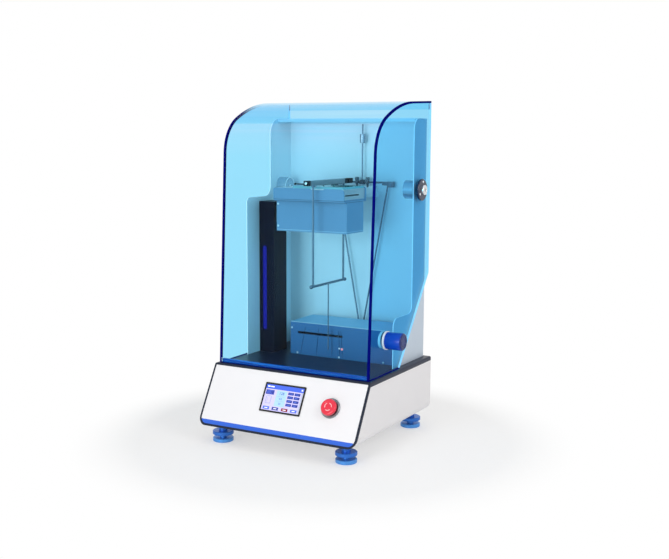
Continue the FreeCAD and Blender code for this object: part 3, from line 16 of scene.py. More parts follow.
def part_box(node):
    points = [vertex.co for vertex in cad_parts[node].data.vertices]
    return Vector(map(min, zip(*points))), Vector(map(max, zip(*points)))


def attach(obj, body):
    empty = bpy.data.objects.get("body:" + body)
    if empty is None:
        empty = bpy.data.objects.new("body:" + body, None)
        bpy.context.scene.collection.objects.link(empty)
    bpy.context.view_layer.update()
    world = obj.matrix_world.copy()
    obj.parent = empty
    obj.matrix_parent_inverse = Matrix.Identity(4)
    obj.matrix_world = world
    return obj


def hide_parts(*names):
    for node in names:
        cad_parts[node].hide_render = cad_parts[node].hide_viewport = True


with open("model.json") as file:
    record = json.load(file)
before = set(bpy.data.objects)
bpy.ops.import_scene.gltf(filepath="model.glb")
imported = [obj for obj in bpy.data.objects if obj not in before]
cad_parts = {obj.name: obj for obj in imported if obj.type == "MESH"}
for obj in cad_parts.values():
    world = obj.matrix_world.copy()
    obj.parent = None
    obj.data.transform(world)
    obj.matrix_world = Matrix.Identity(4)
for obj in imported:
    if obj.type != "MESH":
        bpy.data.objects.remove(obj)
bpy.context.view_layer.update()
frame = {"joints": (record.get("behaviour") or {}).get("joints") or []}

# %% [markdown]
# ## The camera
# The photograph was taken from the right and a little above. A camera fitted to the edges of the cabinet and the
# hood gave its place, its turn and its lens, so pieces land on the same pixels as in the photograph.

# %% Camera
MM = 0.001
CAMERA_PLACE = Vector((1.2113, -2.1145, 0.7216))
CAMERA_YAW = math.radians(29.205)
CAMERA_DOWN = math.radians(7.944)
CAMERA_ROLL = math.radians(0.266)
CAMERA_LENS = 55.52

ahead = Vector((-math.sin(CAMERA_YAW) * math.cos(CAMERA_DOWN), math.cos(CAMERA_YAW) * math.cos(CAMERA_DOWN),
                -math.sin(CAMERA_DOWN)))
level_right = Vector((math.cos(CAMERA_YAW), math.sin(CAMERA_YAW), 0))
level_up = level_right.cross(ahead)
right = level_right * math.cos(CAMERA_ROLL) + level_up * math.sin(CAMERA_ROLL)
up = level_up * math.cos(CAMERA_ROLL) - level_right * math.sin(CAMERA_ROLL)
lens = bpy.data.cameras.new("photo_camera")
lens.lens = CAMERA_LENS
lens.sensor_width = 36.0
lens.sensor_fit = "HORIZONTAL"
camera = bpy.data.objects.new("photo_camera", lens)
camera.matrix_world = Matrix((right, up, -ahead)).transposed().to_4x4()
camera.location = CAMERA_PLACE
bpy.context.scene.collection.objects.link(camera)
bpy.context.scene.camera = camera
bpy.context.scene.view_settings.view_transform = "Standard"
print("camera at", tuple(round(v, 3) for v in camera.location))

# %% [markdown]
# ## Two helpers for materials
# Colours are written as sRGB hex, as a paint chart gives them, and a shader wants them linear, so one function turns
# them. The other function adds a node with its settings and its links, which keeps each material short to read.

# %% Colour and node helpers


def linear(chart):
    """An sRGB hex colour as linear RGBA."""
    parts = [int(chart[i:i + 2], 16) / 255 for i in (1, 3, 5)]
    return [c / 12.92 if c <= 0.04045 else ((c + 0.055) / 1.055) ** 2.4 for c in parts] + [1.0]


def add_node(tree, kind, settings=None, links=None):
    """Add one node; settings are its attributes or its sockets' values, links feed its sockets."""
    made = tree.nodes.new(kind)
    for name, value in (settings or {}).items():
        if isinstance(name, str) and hasattr(made, name):
            setattr(made, name, value)
        else:
            made.inputs[name].default_value = value
    for name, source in (links or {}).items():
        tree.links.new(source, made.inputs[name])
    return made


def start_finish(name, chart, roughness, metallic=0.0, sockets=None):
    """A new material; returns it with its node tree, its Principled shader and its Object coordinates."""
    material = bpy.data.materials.new(name)
    material.use_nodes = True
    tree = material.node_tree
    shader = tree.nodes["Principled BSDF"]
    shader.inputs["Base Color"].default_value = linear(chart)
    shader.inputs["Roughness"].default_value = roughness
    shader.inputs["Metallic"].default_value = metallic
    for socket, value in (sockets or {}).items():
        shader.inputs[socket].default_value = value
    place = add_node(tree, "ShaderNodeTexCoord").outputs["Object"]
    return material, tree, shader, place


def cells_per_metre(size_mm):
    """Noise scale that gives lumps of this size."""
    return 1000.0 / size_mm


print("white paint", [round(c, 3) for c in linear("#f2f2f2")])

# %% [markdown]
# ## Floor, backdrop and lamps
# The photograph is a cut-out on white. A pale floor takes the soft shadow near the feet and fades to plain white
# further out, where it meets a white surround. Only the camera, mirrors and glass see that white: the light on the
# object comes from the dimmer world and three softboxes, so that a colour renders about as it is written.

# %% World
WORLD_LIGHT = 0.56
world = bpy.data.worlds.new("studio")
bpy.context.scene.world = world
world.use_nodes = True
sky = world.node_tree
sky.nodes.clear()
ray = add_node(sky, "ShaderNodeLightPath")
seen = add_node(sky, "ShaderNodeMath", {"operation": "MAXIMUM"},
                {0: ray.outputs["Is Camera Ray"], 1: ray.outputs["Is Glossy Ray"]})
seen = add_node(sky, "ShaderNodeMath", {"operation": "MAXIMUM"},
                {0: seen.outputs[0], 1: ray.outputs["Is Transmission Ray"]})
dim = add_node(sky, "ShaderNodeBackground", {"Color": linear("#fcfbfa"), "Strength": WORLD_LIGHT})
white = add_node(sky, "ShaderNodeBackground", {"Color": (1, 1, 1, 1), "Strength": 1.0})
either = add_node(sky, "ShaderNodeMixShader", None, {0: seen.outputs[0], 1: dim.outputs[0], 2: white.outputs[0]})
add_node(sky, "ShaderNodeOutputWorld", None, {"Surface": either.outputs[0]})
print("world light", WORLD_LIGHT)

# %% Floor
FLOOR_SIDE = 16.0
FLOOR_FADE_FROM = 0.3       # distance from the middle where the floor starts to turn to plain white
FLOOR_FADE_TO = 0.62
FLOOR_LIFT = 0.45           # even beside the feet the paper is this share of the way to white, so shadows stay soft
bpy.ops.object.select_all(action="DESELECT")
bpy.ops.mesh.primitive_plane_add(size=FLOOR_SIDE, location=(0, 0, -0.0005))
floor = bpy.context.object
floor.name = "studio_floor"
floor_finish, tree, shader, place = start_finish("floor_paper", "#fdfdfd", 0.9, 0.0, {"Specular IOR Level": 0.0})
floor.data.materials.append(floor_finish)
far = add_node(tree, "ShaderNodeVectorMath", {"operation": "LENGTH"}, {0: place})
fade = add_node(tree, "ShaderNodeMapRange", {"interpolation_type": "SMOOTHSTEP", "From Min": FLOOR_FADE_FROM,
                                             "From Max": FLOOR_FADE_TO}, {"Value": far.outputs["Value"]})
ray = add_node(tree, "ShaderNodeLightPath")
seen = add_node(tree, "ShaderNodeMath", {"operation": "MAXIMUM"},
                {0: ray.outputs["Is Camera Ray"], 1: ray.outputs["Is Glossy Ray"]})
seen = add_node(tree, "ShaderNodeMath", {"operation": "MAXIMUM"},
                {0: seen.outputs[0], 1: ray.outputs["Is Transmission Ray"]})
lifted = add_node(tree, "ShaderNodeMath", {"operation": "MAXIMUM", 1: FLOOR_LIFT}, {0: fade.outputs[0]})
share = add_node(tree, "ShaderNodeMath", {"operation": "MULTIPLY"}, {0: seen.outputs[0], 1: lifted.outputs[0]})
glow = add_node(tree, "ShaderNodeEmission", {"Color": (1, 1, 1, 1), "Strength": 1.0})
both = add_node(tree, "ShaderNodeMixShader", None, {0: share.outputs[0], 1: shader.outputs[0], 2: glow.outputs[0]})
tree.links.new(both.outputs[0], tree.nodes["Material Output"].inputs["Surface"])
print("floor", FLOOR_SIDE, "m")

# %% Lamps
LAMPS = (
    ("key_softbox", (-0.2, -3.3, 0.7), 1.5, 50.5),
    ("top_softbox", (0.2, 0.1, 2.6), 1.6, 5.5),
    ("right_softbox", (2.4, -0.8, 1.5), 1.4, 22.0),
)
for name, lamp_place, side, power in LAMPS:
    light = bpy.data.lights.new(name, "AREA")
    light.shape = "SQUARE"
    light.size = side
    light.energy = power
    lamp = bpy.data.objects.new(name, light)
    lamp.location = lamp_place
    lamp.rotation_euler = (Vector((0, 0, 0.4)) - lamp.location).to_track_quat("-Z", "Y").to_euler()
    bpy.context.scene.collection.objects.link(lamp)
print("lamps", [lamp[0] for lamp in LAMPS])

# %% [markdown]
# ## Sprayed sheet metal
# The cabinet, the tower and the table are folded steel, sprayed with powder and baked. Powder flows out a little
# before it sets, which leaves low lumps about a millimetre wide, the "orange peel" that softens its highlights.
# Lumps that fine are finer than a pixel here, so they are drawn 2 mm wide. A slow, faint change of colour and gloss
# keeps a large white side from looking like paper.

# %% Sprayed finishes
PEEL_MM = 2.0
MOTTLE_MM = 60.0


def sprayed(name, chart, shade_chart, roughness, specular=0.5, peel=0.25):
    """Baked powder coat: faint mottling between two near colours, uneven gloss and orange peel."""
    material, tree, shader, place = start_finish(name, chart, roughness, 0.0, {"Specular IOR Level": specular})
    mottle = add_node(tree, "ShaderNodeTexNoise", {"Scale": cells_per_metre(MOTTLE_MM), "Detail": 3.0},
                      {"Vector": place})
    tint = add_node(tree, "ShaderNodeMix", {"data_type": "RGBA", 6: linear(chart), 7: linear(shade_chart)},
                    {0: mottle.outputs["Fac"]})
    peel_noise = add_node(tree, "ShaderNodeTexNoise", {"Scale": cells_per_metre(PEEL_MM), "Detail": 1.0},
                          {"Vector": place})
    gloss = add_node(tree, "ShaderNodeMapRange", {"To Min": roughness - 0.05, "To Max": roughness + 0.05},
                     {"Value": mottle.outputs["Fac"]})
    bump = add_node(tree, "ShaderNodeBump", {"Strength": peel, "Distance": 0.05 * MM},
                    {"Height": peel_noise.outputs["Fac"]})
    tree.links.new(tint.outputs[2], shader.inputs["Base Color"])
    tree.links.new(gloss.outputs[0], shader.inputs["Roughness"])
    tree.links.new(bump.outputs["Normal"], shader.inputs["Normal"])
    return material, tree, shader, place


def dress(material, *names):
    """Give CAD nodes or new pieces one material."""
    for name in names:
        piece = bpy.data.objects[name]
        piece.data.materials.clear()
        piece.data.materials.append(material)


dress(sprayed("cabinet_powder_white", "#e8e6e7", "#e3e1e3", 0.42)[0], "base_shell", "rear_panel")
dress(sprayed("tower_powder_white", "#f8fafc", "#f4f7fa", 0.45)[0], "tower_back", "storage_hanger")
dress(sprayed("bezel_powder_slate", "#1d2638", "#192132", 0.4, 0.2)[0], "front_bezel")
dress(sprayed("scale_cover_powder_grey", "#90c8e8", "#8ac2e2", 0.42)[0], "scale_cover")
dress(sprayed("block_enamel_black", "#0c0e14", "#080a10", 0.3, 0.3)[0], "heavy_end_blocks")
print("sprayed pieces dressed")

# %% Table with painted highlights and painted shade on its folds
PAINTED_FOLD_HIGHLIGHT = "#b9cfe0"      # painted highlight: a fold that looks up is painted paler, for the light it catches
PAINTED_FOLD_SHADE = "#3c5068"       # painted shade: a fold that looks down is painted darker, for its own shade
FLANGE_THICK = 4.0 * MM     # the box's flange under the tray


def folded_paint(name, chart, shade_chart, bands):
    """Painted light and shade on a sprayed sheet's folds; each band has its lowest and highest place and its colour."""
    material, tree, shader, place = sprayed(name, chart, shade_chart, 0.4)
    height = add_node(tree, "ShaderNodeSeparateXYZ", None, {0: place})
    colour = shader.inputs["Base Color"].links[0].from_socket
    for low, high, band_chart in bands:
        over = add_node(tree, "ShaderNodeMath", {"operation": "GREATER_THAN", 1: low}, {0: height.outputs["Z"]})
        under = add_node(tree, "ShaderNodeMath", {"operation": "LESS_THAN", 1: high}, {0: height.outputs["Z"]})
        fold = add_node(tree, "ShaderNodeMath", {"operation": "MULTIPLY"}, {0: over.outputs[0], 1: under.outputs[0]})
        banded = add_node(tree, "ShaderNodeMix", {"data_type": "RGBA", 7: linear(band_chart)},
                          {0: fold.outputs[0], 6: colour})
        colour = banded.outputs[2]
    tree.links.new(colour, shader.inputs["Base Color"])
    return material


tray_low, tray_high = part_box("table_tray")
box_low, box_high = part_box("table_box")
flange_foot = box_high.z - FLANGE_THICK
dress(folded_paint("tray_powder_blue_grey", "#769abb", "#7094b5",
                   ((tray_high.z - 1.2 * MM, tray_high.z + MM, PAINTED_FOLD_HIGHLIGHT),
                    (tray_low.z - MM, tray_low.z + 0.9 * MM, PAINTED_FOLD_SHADE))), "table_tray")
dress(folded_paint("box_powder_blue_grey", "#769abb", "#7094b5",
                   ((box_low.z + 3.0 * MM, box_low.z + 4.2 * MM, PAINTED_FOLD_HIGHLIGHT),
                    (flange_foot - 0.2 * MM, flange_foot + 0.9 * MM, PAINTED_FOLD_SHADE))), "table_box")
print("table dressed")

# %% Cheeks with a painted highlight on their cut edges
# Painted highlight: the rounded cut edge mirrors the lamps along its whole length, so it is painted white and glows.
PAINTED_EDGE_GLOW = 0.28       # painted highlight on the cut edges, a glow in a line under a pixel wide


def cheek_paint(name, chart, shade_chart):
    """Sprayed sheet whose cut edges, the faces that look neither along X nor back, get a painted highlight: white and a
    glow.
    """
    material, tree, shader, place = sprayed(name, chart, shade_chart, 0.45)
    normal = add_node(tree, "ShaderNodeSeparateXYZ", None,
                      {0: add_node(tree, "ShaderNodeTexCoord").outputs["Normal"]})
    size = add_node(tree, "ShaderNodeMath", {"operation": "ABSOLUTE"}, {0: normal.outputs["X"]})
    turned = add_node(tree, "ShaderNodeMath", {"operation": "MAXIMUM"}, {0: size.outputs[0], 1: normal.outputs["Y"]})
    edge = add_node(tree, "ShaderNodeMath", {"operation": "LESS_THAN", 1: 0.5}, {0: turned.outputs[0]})
    powder = shader.inputs["Base Color"].links[0].from_socket
    colour = add_node(tree, "ShaderNodeMix", {"data_type": "RGBA", 7: linear("#ffffff")},
                      {0: edge.outputs[0], 6: powder})
    tree.links.new(colour.outputs[2], shader.inputs["Base Color"])
    glint = add_node(tree, "ShaderNodeMath", {"operation": "MULTIPLY", 1: PAINTED_EDGE_GLOW}, {0: edge.outputs[0]})
    tree.links.new(glint.outputs[0], shader.inputs["Emission Strength"])
    shader.inputs["Emission Color"].default_value = linear("#ffffff")
    return material


dress(cheek_paint("left_cheek_powder_white", "#eef4f8", "#e9f0f5"), "tower_left_cheek")
# Painted shade: the right cheek is the same white sheet as the left, painted a darker blue grey for its shade.
dress(cheek_paint("right_cheek_powder_painted_shade", "#c1cedb", "#bcc9d7"), "tower_right_cheek")
print("cheeks dressed")

# %% Scale plate with painted grooves and a painted highlight on its upper edge
GROOVE_FROM = 0.3 * MM      # the engraved lines are 0.6 mm deep, and paint fills what lies deeper than this
GROOVE_TO = 0.9 * MM
EDGE_TALL = 1.3 * MM        # the plate's folded upper edge is painted pale, a painted highlight
plate_low, plate_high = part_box("scale_face")
material, tree, shader, place = sprayed("scale_powder_blue_grey", "#4879ab", "#4373a4", 0.38, 0.3)
where = add_node(tree, "ShaderNodeSeparateXYZ", None, {0: place})
deep = add_node(tree, "ShaderNodeMath", {"operation": "GREATER_THAN", 1: plate_low.y + GROOVE_FROM},
                {0: where.outputs["Y"]})
near = add_node(tree, "ShaderNodeMath", {"operation": "LESS_THAN", 1: plate_low.y + GROOVE_TO},
                {0: where.outputs["Y"]})
groove = add_node(tree, "ShaderNodeMath", {"operation": "MULTIPLY"}, {0: deep.outputs[0], 1: near.outputs[0]})
powder = shader.inputs["Base Color"].links[0].from_socket
inked = add_node(tree, "ShaderNodeMix", {"data_type": "RGBA", 7: linear("#040812")},
                 {0: groove.outputs[0], 6: powder})
# Painted highlight along the plate's folded upper edge.
upper = add_node(tree, "ShaderNodeMath", {"operation": "GREATER_THAN", 1: plate_high.z - EDGE_TALL},
                 {0: where.outputs["Z"]})
edge_highlight = add_node(tree, "ShaderNodeMix", {"data_type": "RGBA", 7: linear("#c9dcea")},
                {0: upper.outputs[0], 6: inked.outputs[2]})
tree.links.new(edge_highlight.outputs[2], shader.inputs["Base Color"])
dress(material, "scale_face")
print("grooves painted")

# %% [markdown]
# ## The printed front panel
# The sloping panel is white with one printed blue stripe along its foot. The stripe is a matter of height only, so
# its edge is read from the Z of Object coordinates.

# %% Front panel
STRIPE_WIDTH = 10.0 * MM    # up the slope
panel_low, panel_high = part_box("front_panel")
panel_out = -Vector(next(j for j in frame["joints"] if j["name"] == "stop_push")["axis"])
panel_lean = math.atan2(-panel_out.y, panel_out.z)      # slope of the panel above level
stripe_top = panel_low.z + STRIPE_WIDTH * math.sin(panel_lean)
material, tree, shader, place = sprayed("panel_enamel_white", "#e9e9eb", "#e5e5e8", 0.35, 0.4, 0.1)
height = add_node(tree, "ShaderNodeSeparateXYZ", None, {0: place})
below = add_node(tree, "ShaderNodeMath", {"operation": "LESS_THAN", 1: stripe_top}, {0: height.outputs["Z"]})
white_paint = shader.inputs["Base Color"].links[0].from_socket
printed = add_node(tree, "ShaderNodeMix", {"data_type": "RGBA", 7: linear("#2a62d2")},
                   {0: below.outputs[0], 6: white_paint})
tree.links.new(printed.outputs[2], shader.inputs["Base Color"])
dress(material, "front_panel")
print("panel leans", round(math.degrees(panel_lean), 2), "stripe to", round(stripe_top, 4))

# %% [markdown]
# ## Metals
# Rods, screws and bars are turned or ground steel and aluminium. A tool leaves fine lines along or round the piece,
# which stretch a highlight across them. One function stretches a noise along the lines' direction.

# %% Ground and anodised metals
LINE_MM = 0.6       # real grinding lines are finer, but these still show at this size
LINE_STRETCH = 40.0


def ground_metal(name, chart, roughness, along=(1, 0, 0), metallic=1.0, depth=0.3, specular=0.5):
    """Metal with fine tool lines that run along one direction."""
    material, tree, shader, place = start_finish(name, chart, roughness, metallic, {"Specular IOR Level": specular})
    squeeze = [1.0 / LINE_STRETCH if abs(a) > 0.5 else 1.0 for a in along]
    turned = add_node(tree, "ShaderNodeMapping", {"Scale": squeeze}, {"Vector": place})
    lines = add_node(tree, "ShaderNodeTexNoise", {"Scale": cells_per_metre(LINE_MM), "Detail": 2.0},
                     {"Vector": turned.outputs[0]})
    gloss = add_node(tree, "ShaderNodeMapRange", {"To Min": roughness - 0.08, "To Max": roughness + 0.1},
                     {"Value": lines.outputs["Fac"]})
    bump = add_node(tree, "ShaderNodeBump", {"Strength": depth, "Distance": 0.02 * MM},
                    {"Height": lines.outputs["Fac"]})
    tree.links.new(gloss.outputs[0], shader.inputs["Roughness"])
    tree.links.new(bump.outputs["Normal"], shader.inputs["Normal"])
    return material


X_LINES, Y_LINES, Z_LINES = (1, 0, 0), (0, 1, 0), (0, 0, 1)
dress(ground_metal("deck_anodised_black", "#0a1934", 0.3, X_LINES, 0.0, 0.3, 0.22), "deck_plate")
dress(ground_metal("bar_ground_aluminium", "#a9b0b6", 0.35, Y_LINES), "heavy_bar")
dress(ground_metal("rod_ground_steel", "#747e8c", 0.35, Z_LINES), "heavy_frame", "heavy_pointer", "light_frame",
      "light_counter_rod")
dress(ground_metal("crossbar_ground_steel", "#727a84", 0.35, X_LINES), "light_crossbar", "release_guide")
dress(ground_metal("pin_turned_steel", "#6b737c", 0.3, Z_LINES), "light_ball_pins", "release_pin", "foot_bushes")
dress(ground_metal("weight_turned_steel", "#a3a7b0", 0.35, Z_LINES), "light_counterweight")
dress(ground_metal("post_ground_steel", "#9aa0a6", 0.4, Z_LINES), "table_bracket")
dress(ground_metal("platform_milled_aluminium", "#cfd3d6", 0.35, X_LINES), "table_platform")
dress(ground_metal("screw_plated_steel", "#e9edf0", 0.3, X_LINES), "cover_screws", "hinge_disc_screws")
dress(ground_metal("boss_turned_aluminium", "#b0c2d0", 0.22, X_LINES, 0.6), "hinge_bosses")
dress(ground_metal("cap_chromed_steel", "#d8d8da", 0.15, X_LINES), "hinge_pins", "heavy_balls")
dress(ground_metal("supply_zinc_plate", "#a8acb0", 0.4, X_LINES), "power_supply")
dress(ground_metal("collar_turned_aluminium", "#85898d", 0.35, X_LINES), "stop_collar")
FEET = range(1, 5)
dress(ground_metal("pad_anodised_blue", "#4f93dd", 0.35, X_LINES, 0.6), *["foot_pad_%d" % i for i in FEET])
dress(ground_metal("wheel_anodised_blue", "#2f6cc4", 0.35, X_LINES, 0.6), *["foot_wheel_%d" % i for i in FEET])
print("metals dressed")

# %% [markdown]
# ## Plastics and glass
# Knobs, covers and frames are moulded. Moulded plastic has a clear skin over an even colour, and only its fine
# texture breaks the gloss.

# %% Moulded plastics


def moulded(name, chart, roughness, texture_mm=1.2, depth=0.12, sockets=None):
    """Moulded plastic: even colour, a fine mould texture and slightly uneven gloss."""
    material, tree, shader, place = start_finish(name, chart, roughness, 0.0, sockets)
    texture = add_node(tree, "ShaderNodeTexNoise", {"Scale": cells_per_metre(texture_mm), "Detail": 2.0},
                       {"Vector": place})
    gloss = add_node(tree, "ShaderNodeMapRange", {"To Min": max(roughness - 0.04, 0.02), "To Max": roughness + 0.04},
                     {"Value": texture.outputs["Fac"]})
    bump = add_node(tree, "ShaderNodeBump", {"Strength": depth, "Distance": 0.03 * MM},
                    {"Height": texture.outputs["Fac"]})
    tree.links.new(gloss.outputs[0], shader.inputs["Roughness"])
    tree.links.new(bump.outputs["Normal"], shader.inputs["Normal"])
    return material


dress(moulded("column_gloss_black", "#040920", 0.3, 3.0, 0.12, {"Specular IOR Level": 0.08}), "column_cover")
dress(moulded("strip_translucent_blue", "#0c0c94", 0.3, 3.0, 0.1,
              {"Emission Color": linear("#1a18e8"), "Emission Strength": 0.06, "Specular IOR Level": 0.2}), "column_light_strip")
dress(moulded("screen_frame_black", "#07080b", 0.2), "touch_screen")
dress(moulded("inlet_black", "#111214", 0.5), "mains_inlet", "release_carriage", "stop_plunger")
dress(moulded("board_lacquer_green", "#1c5a34", 0.4), "control_board")
dress(moulded("stop_red", "#bd0418", 0.18, 1.2, 0.04), "stop_head")
dress(moulded("disc_black", "#0a1c40", 0.25), "hinge_discs")
material = moulded("knob_gloss_blue", "#0c42b4", 0.2, 1.2, 0.05, {"Specular IOR Level": 0.3})
knob_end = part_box("lift_knob")[1].x
KNOB_PAINTED_REFLECTION = 4.0 * MM       # painted reflection: the polished end is painted deeper, for the dark cabinet it mirrors
tree = material.node_tree
spot = add_node(tree, "ShaderNodeSeparateXYZ", None, {0: add_node(tree, "ShaderNodeTexCoord").outputs["Object"]})
end = add_node(tree, "ShaderNodeMapRange", {"From Min": knob_end - KNOB_PAINTED_REFLECTION, "From Max": knob_end - 0.5 * MM},
               {"Value": spot.outputs["X"]})
colour = add_node(tree, "ShaderNodeMix", {"data_type": "RGBA", 6: linear("#0c42b4"), 7: linear("#051c5e")},
                  {0: end.outputs[0]})
tree.links.new(colour.outputs[2], tree.nodes["Principled BSDF"].inputs["Base Color"])
dress(material, "lift_knob")
dress(moulded("ring_white", "#f3f4f6", 0.25), "knob_rings")
dress(moulded("sensor_clear_red", "#ff8f8a", 0.1, 1.2, 0.05,
              {"Emission Color": linear("#ff9a9e"), "Emission Strength": 0.7}), "angle_sensor")
print("plastics dressed")

# %% [markdown]
# ## Clear sheets
# The hood is cast acrylic, tinted sky blue, and the test plate is float glass, green in its depth. Light crosses
# such a sheet nearly straight, so a Transparent shader with the sheet's tint stands for it and lets the lamps colour
# what is inside. A mirror shader takes over as the view becomes shallow. A cut and polished edge gathers colour
# from the whole sheet, so faces on the edge are deep navy. The side sheets' edges also get a painted glow, pale on
# their free edges and navy where they are glued and along the foot, for the light that the edges catch.

# %% Tinted sheet


def clear_sheet(name, tint_chart, slant_chart, edge_chart, edge_share, extra=None):
    """Tinted clear sheet. edge_share makes a socket that is 1 on the sheet's edges and 0 on its faces."""
    material, tree, shader, place = start_finish(name, edge_chart, 0.25, 0.0, {"Specular IOR Level": 0.0})
    facing = add_node(tree, "ShaderNodeLayerWeight", {"Blend": 0.5}).outputs["Facing"]
    steep = add_node(tree, "ShaderNodeMath", {"operation": "POWER", 1: 2.0}, {0: facing})
    tint = add_node(tree, "ShaderNodeMix", {"data_type": "RGBA", 6: linear(tint_chart), 7: linear(slant_chart)},
                    {0: steep.outputs[0]})
    if extra:
        tint = extra(tree, place, tint, steep)
    through = add_node(tree, "ShaderNodeBsdfTransparent", None, {"Color": tint.outputs[2]})
    mirror = add_node(tree, "ShaderNodeBsdfGlossy", {"Roughness": 0.02, "Color": linear("#ffffff")})
    rise = add_node(tree, "ShaderNodeMath", {"operation": "POWER", 1: 7.0}, {0: facing})
    share = add_node(tree, "ShaderNodeMath", {"operation": "MULTIPLY_ADD", 1: 0.8, 2: 0.005}, {0: rise.outputs[0]})
    face = add_node(tree, "ShaderNodeMixShader", None,
                    {0: share.outputs[0], 1: through.outputs[0], 2: mirror.outputs[0]})
    edge, deep = edge_share(tree, place)
    # Painted glow: on the side sheets the edge colour is also emitted, pale on free edges, navy where glued and at the
    # foot.
    if deep:
        colour = add_node(tree, "ShaderNodeMix", {"data_type": "RGBA", 6: linear(edge_chart), 7: linear(EDGE_NAVY)},
                          {0: deep})
        tree.links.new(colour.outputs[2], shader.inputs["Base Color"])
        tree.links.new(colour.outputs[2], shader.inputs["Emission Color"])
        shader.inputs["Emission Strength"].default_value = 0.35
    whole = add_node(tree, "ShaderNodeMixShader", None, {0: edge, 1: face.outputs[0], 2: shader.outputs[0]})
    tree.links.new(whole.outputs[0], tree.nodes["Material Output"].inputs["Surface"])
    return material


def edge_by_normal(axis, low, high):
    """1 where the face's own direction along an axis is between low and high."""
    def share(tree, place):
        normal = add_node(tree, "ShaderNodeSeparateXYZ", None,
                          {0: add_node(tree, "ShaderNodeTexCoord").outputs["Normal"]})
        size = add_node(tree, "ShaderNodeMath", {"operation": "ABSOLUTE"}, {0: normal.outputs[axis]})
        over = add_node(tree, "ShaderNodeMath", {"operation": "GREATER_THAN", 1: low}, {0: size.outputs[0]})
        under = add_node(tree, "ShaderNodeMath", {"operation": "LESS_THAN", 1: high}, {0: size.outputs[0]})
        return add_node(tree, "ShaderNodeMath", {"operation": "MULTIPLY"},
                        {0: over.outputs[0], 1: under.outputs[0]}).outputs[0], None
    return share


def edge_of_side(tree, place):
    """All edges of a side sheet; those glued to the bent sheet lie above the line from its foot to its rear top."""
    share, _ = edge_by_normal("X", -1.0, 0.5)(tree, place)
    across = Vector((0, sheet_low.z - sheet_high.z, sheet_high.y - sheet_low.y)).normalized()
    middle = (sheet_low + sheet_high) / 2
    height = add_node(tree, "ShaderNodeVectorMath", {"operation": "DOT_PRODUCT", 1: across}, {0: place})
    glued = add_node(tree, "ShaderNodeMath", {"operation": "GREATER_THAN", 1: across.dot(middle)},
                     {0: height.outputs["Value"]})
    deep = add_node(tree, "ShaderNodeMath", {"operation": "MULTIPLY"},
                    {0: glued.outputs[0], 1: away_from_left_top(tree, place)})
    spot = add_node(tree, "ShaderNodeSeparateXYZ", None, {0: place})
    foot = add_node(tree, "ShaderNodeMath", {"operation": "LESS_THAN", 1: sheet_low.z + MM}, {0: spot.outputs["Z"]})
    deep = add_node(tree, "ShaderNodeMath", {"operation": "MAXIMUM"}, {0: deep.outputs[0], 1: foot.outputs[0]})
    return share, deep.outputs[0]


def away_from_left_top(tree, place):
    """1, falling to 0 over the left end of the crown, where the edge of the sheet loses its deep colour."""
    spot = add_node(tree, "ShaderNodeSeparateXYZ", None, {0: place})
    low = add_node(tree, "ShaderNodeMapRange", {"From Min": EDGE_PALE_FROM, "From Max": EDGE_PALE_TO,
                                                "To Min": 1.0, "To Max": 0.0}, {"Value": spot.outputs["Z"]})
    right = add_node(tree, "ShaderNodeMath", {"operation": "GREATER_THAN", 1: 0.0}, {0: spot.outputs["X"]})
    return add_node(tree, "ShaderNodeMath", {"operation": "MAXIMUM"},
                    {0: low.outputs[0], 1: right.outputs[0]}).outputs[0]


def streaked_edge(name, chart, deep_chart):
    """Acrylic seen end on, with a painted glow in streaks along X for the light caught in the sheet."""
    material, tree, shader, place = start_finish(name, chart, 0.2, 0.0, {"Specular IOR Level": 0.2})
    drawn = add_node(tree, "ShaderNodeMapping", {"Scale": (0.04, 1.0, 1.0)}, {"Vector": place})
    streaks = add_node(tree, "ShaderNodeTexNoise", {"Scale": cells_per_metre(3.0), "Detail": 2.0},
                       {"Vector": drawn.outputs[0]})
    sharper = add_node(tree, "ShaderNodeMapRange", {"From Min": 0.35, "From Max": 0.65},
                       {"Value": streaks.outputs["Fac"]})
    colour = add_node(tree, "ShaderNodeMix", {"data_type": "RGBA", 6: linear(deep_chart), 7: linear(chart)},
                      {0: sharper.outputs[0]})
    tree.links.new(colour.outputs[2], shader.inputs["Base Color"])
    tree.links.new(colour.outputs[2], shader.inputs["Emission Color"])
    shader.inputs["Emission Strength"].default_value = 0.15
    return material


HOOD_TINT = "#e4f9ff"
HOOD_SLANT = "#c4e9fc"
# Painted shade: the right sheet is the same acrylic as the left, tinted deeper to darken the shaded cheek behind it.
RIGHT_SHADE_TINT = "#ccf1fd"
RIGHT_SHADE_SLANT = "#9fdcf8"
EDGE_NAVY = "#060a6c"
EDGE_PALE_FROM = 0.772      # heights between which the left end of the crown loses its deep colour
EDGE_PALE_TO = 0.796
EDGE_BAND = 5.0 * MM        # as wide as the side sheet that is glued behind it
sheet_low, sheet_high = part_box("hood_front_sheet")
print("hood sheet", [round(v, 3) for v in sheet_high - sheet_low])

# %% [markdown]
# ## The bent front sheet
# The front and the top are one sheet, heated and bent over a form. Above the start of the bend the tint is deeper,
# in streaks, and just below it a painted highlight, a pale band with level streaks that fades downwards, stands in
# for the lamps mirrored in the bend. Both follow the height of the bend.

# %% Bend of the front sheet
BEND_START = 0.7485         # height at which the flat front starts to bend over
BEND_SOFT = 1.5 * MM
# height and strength of the painted highlight below the bend
HIGHLIGHT_TALL = 75.0 * MM
HIGHLIGHT_MOST = 0.75
STREAK_MM = 9.0


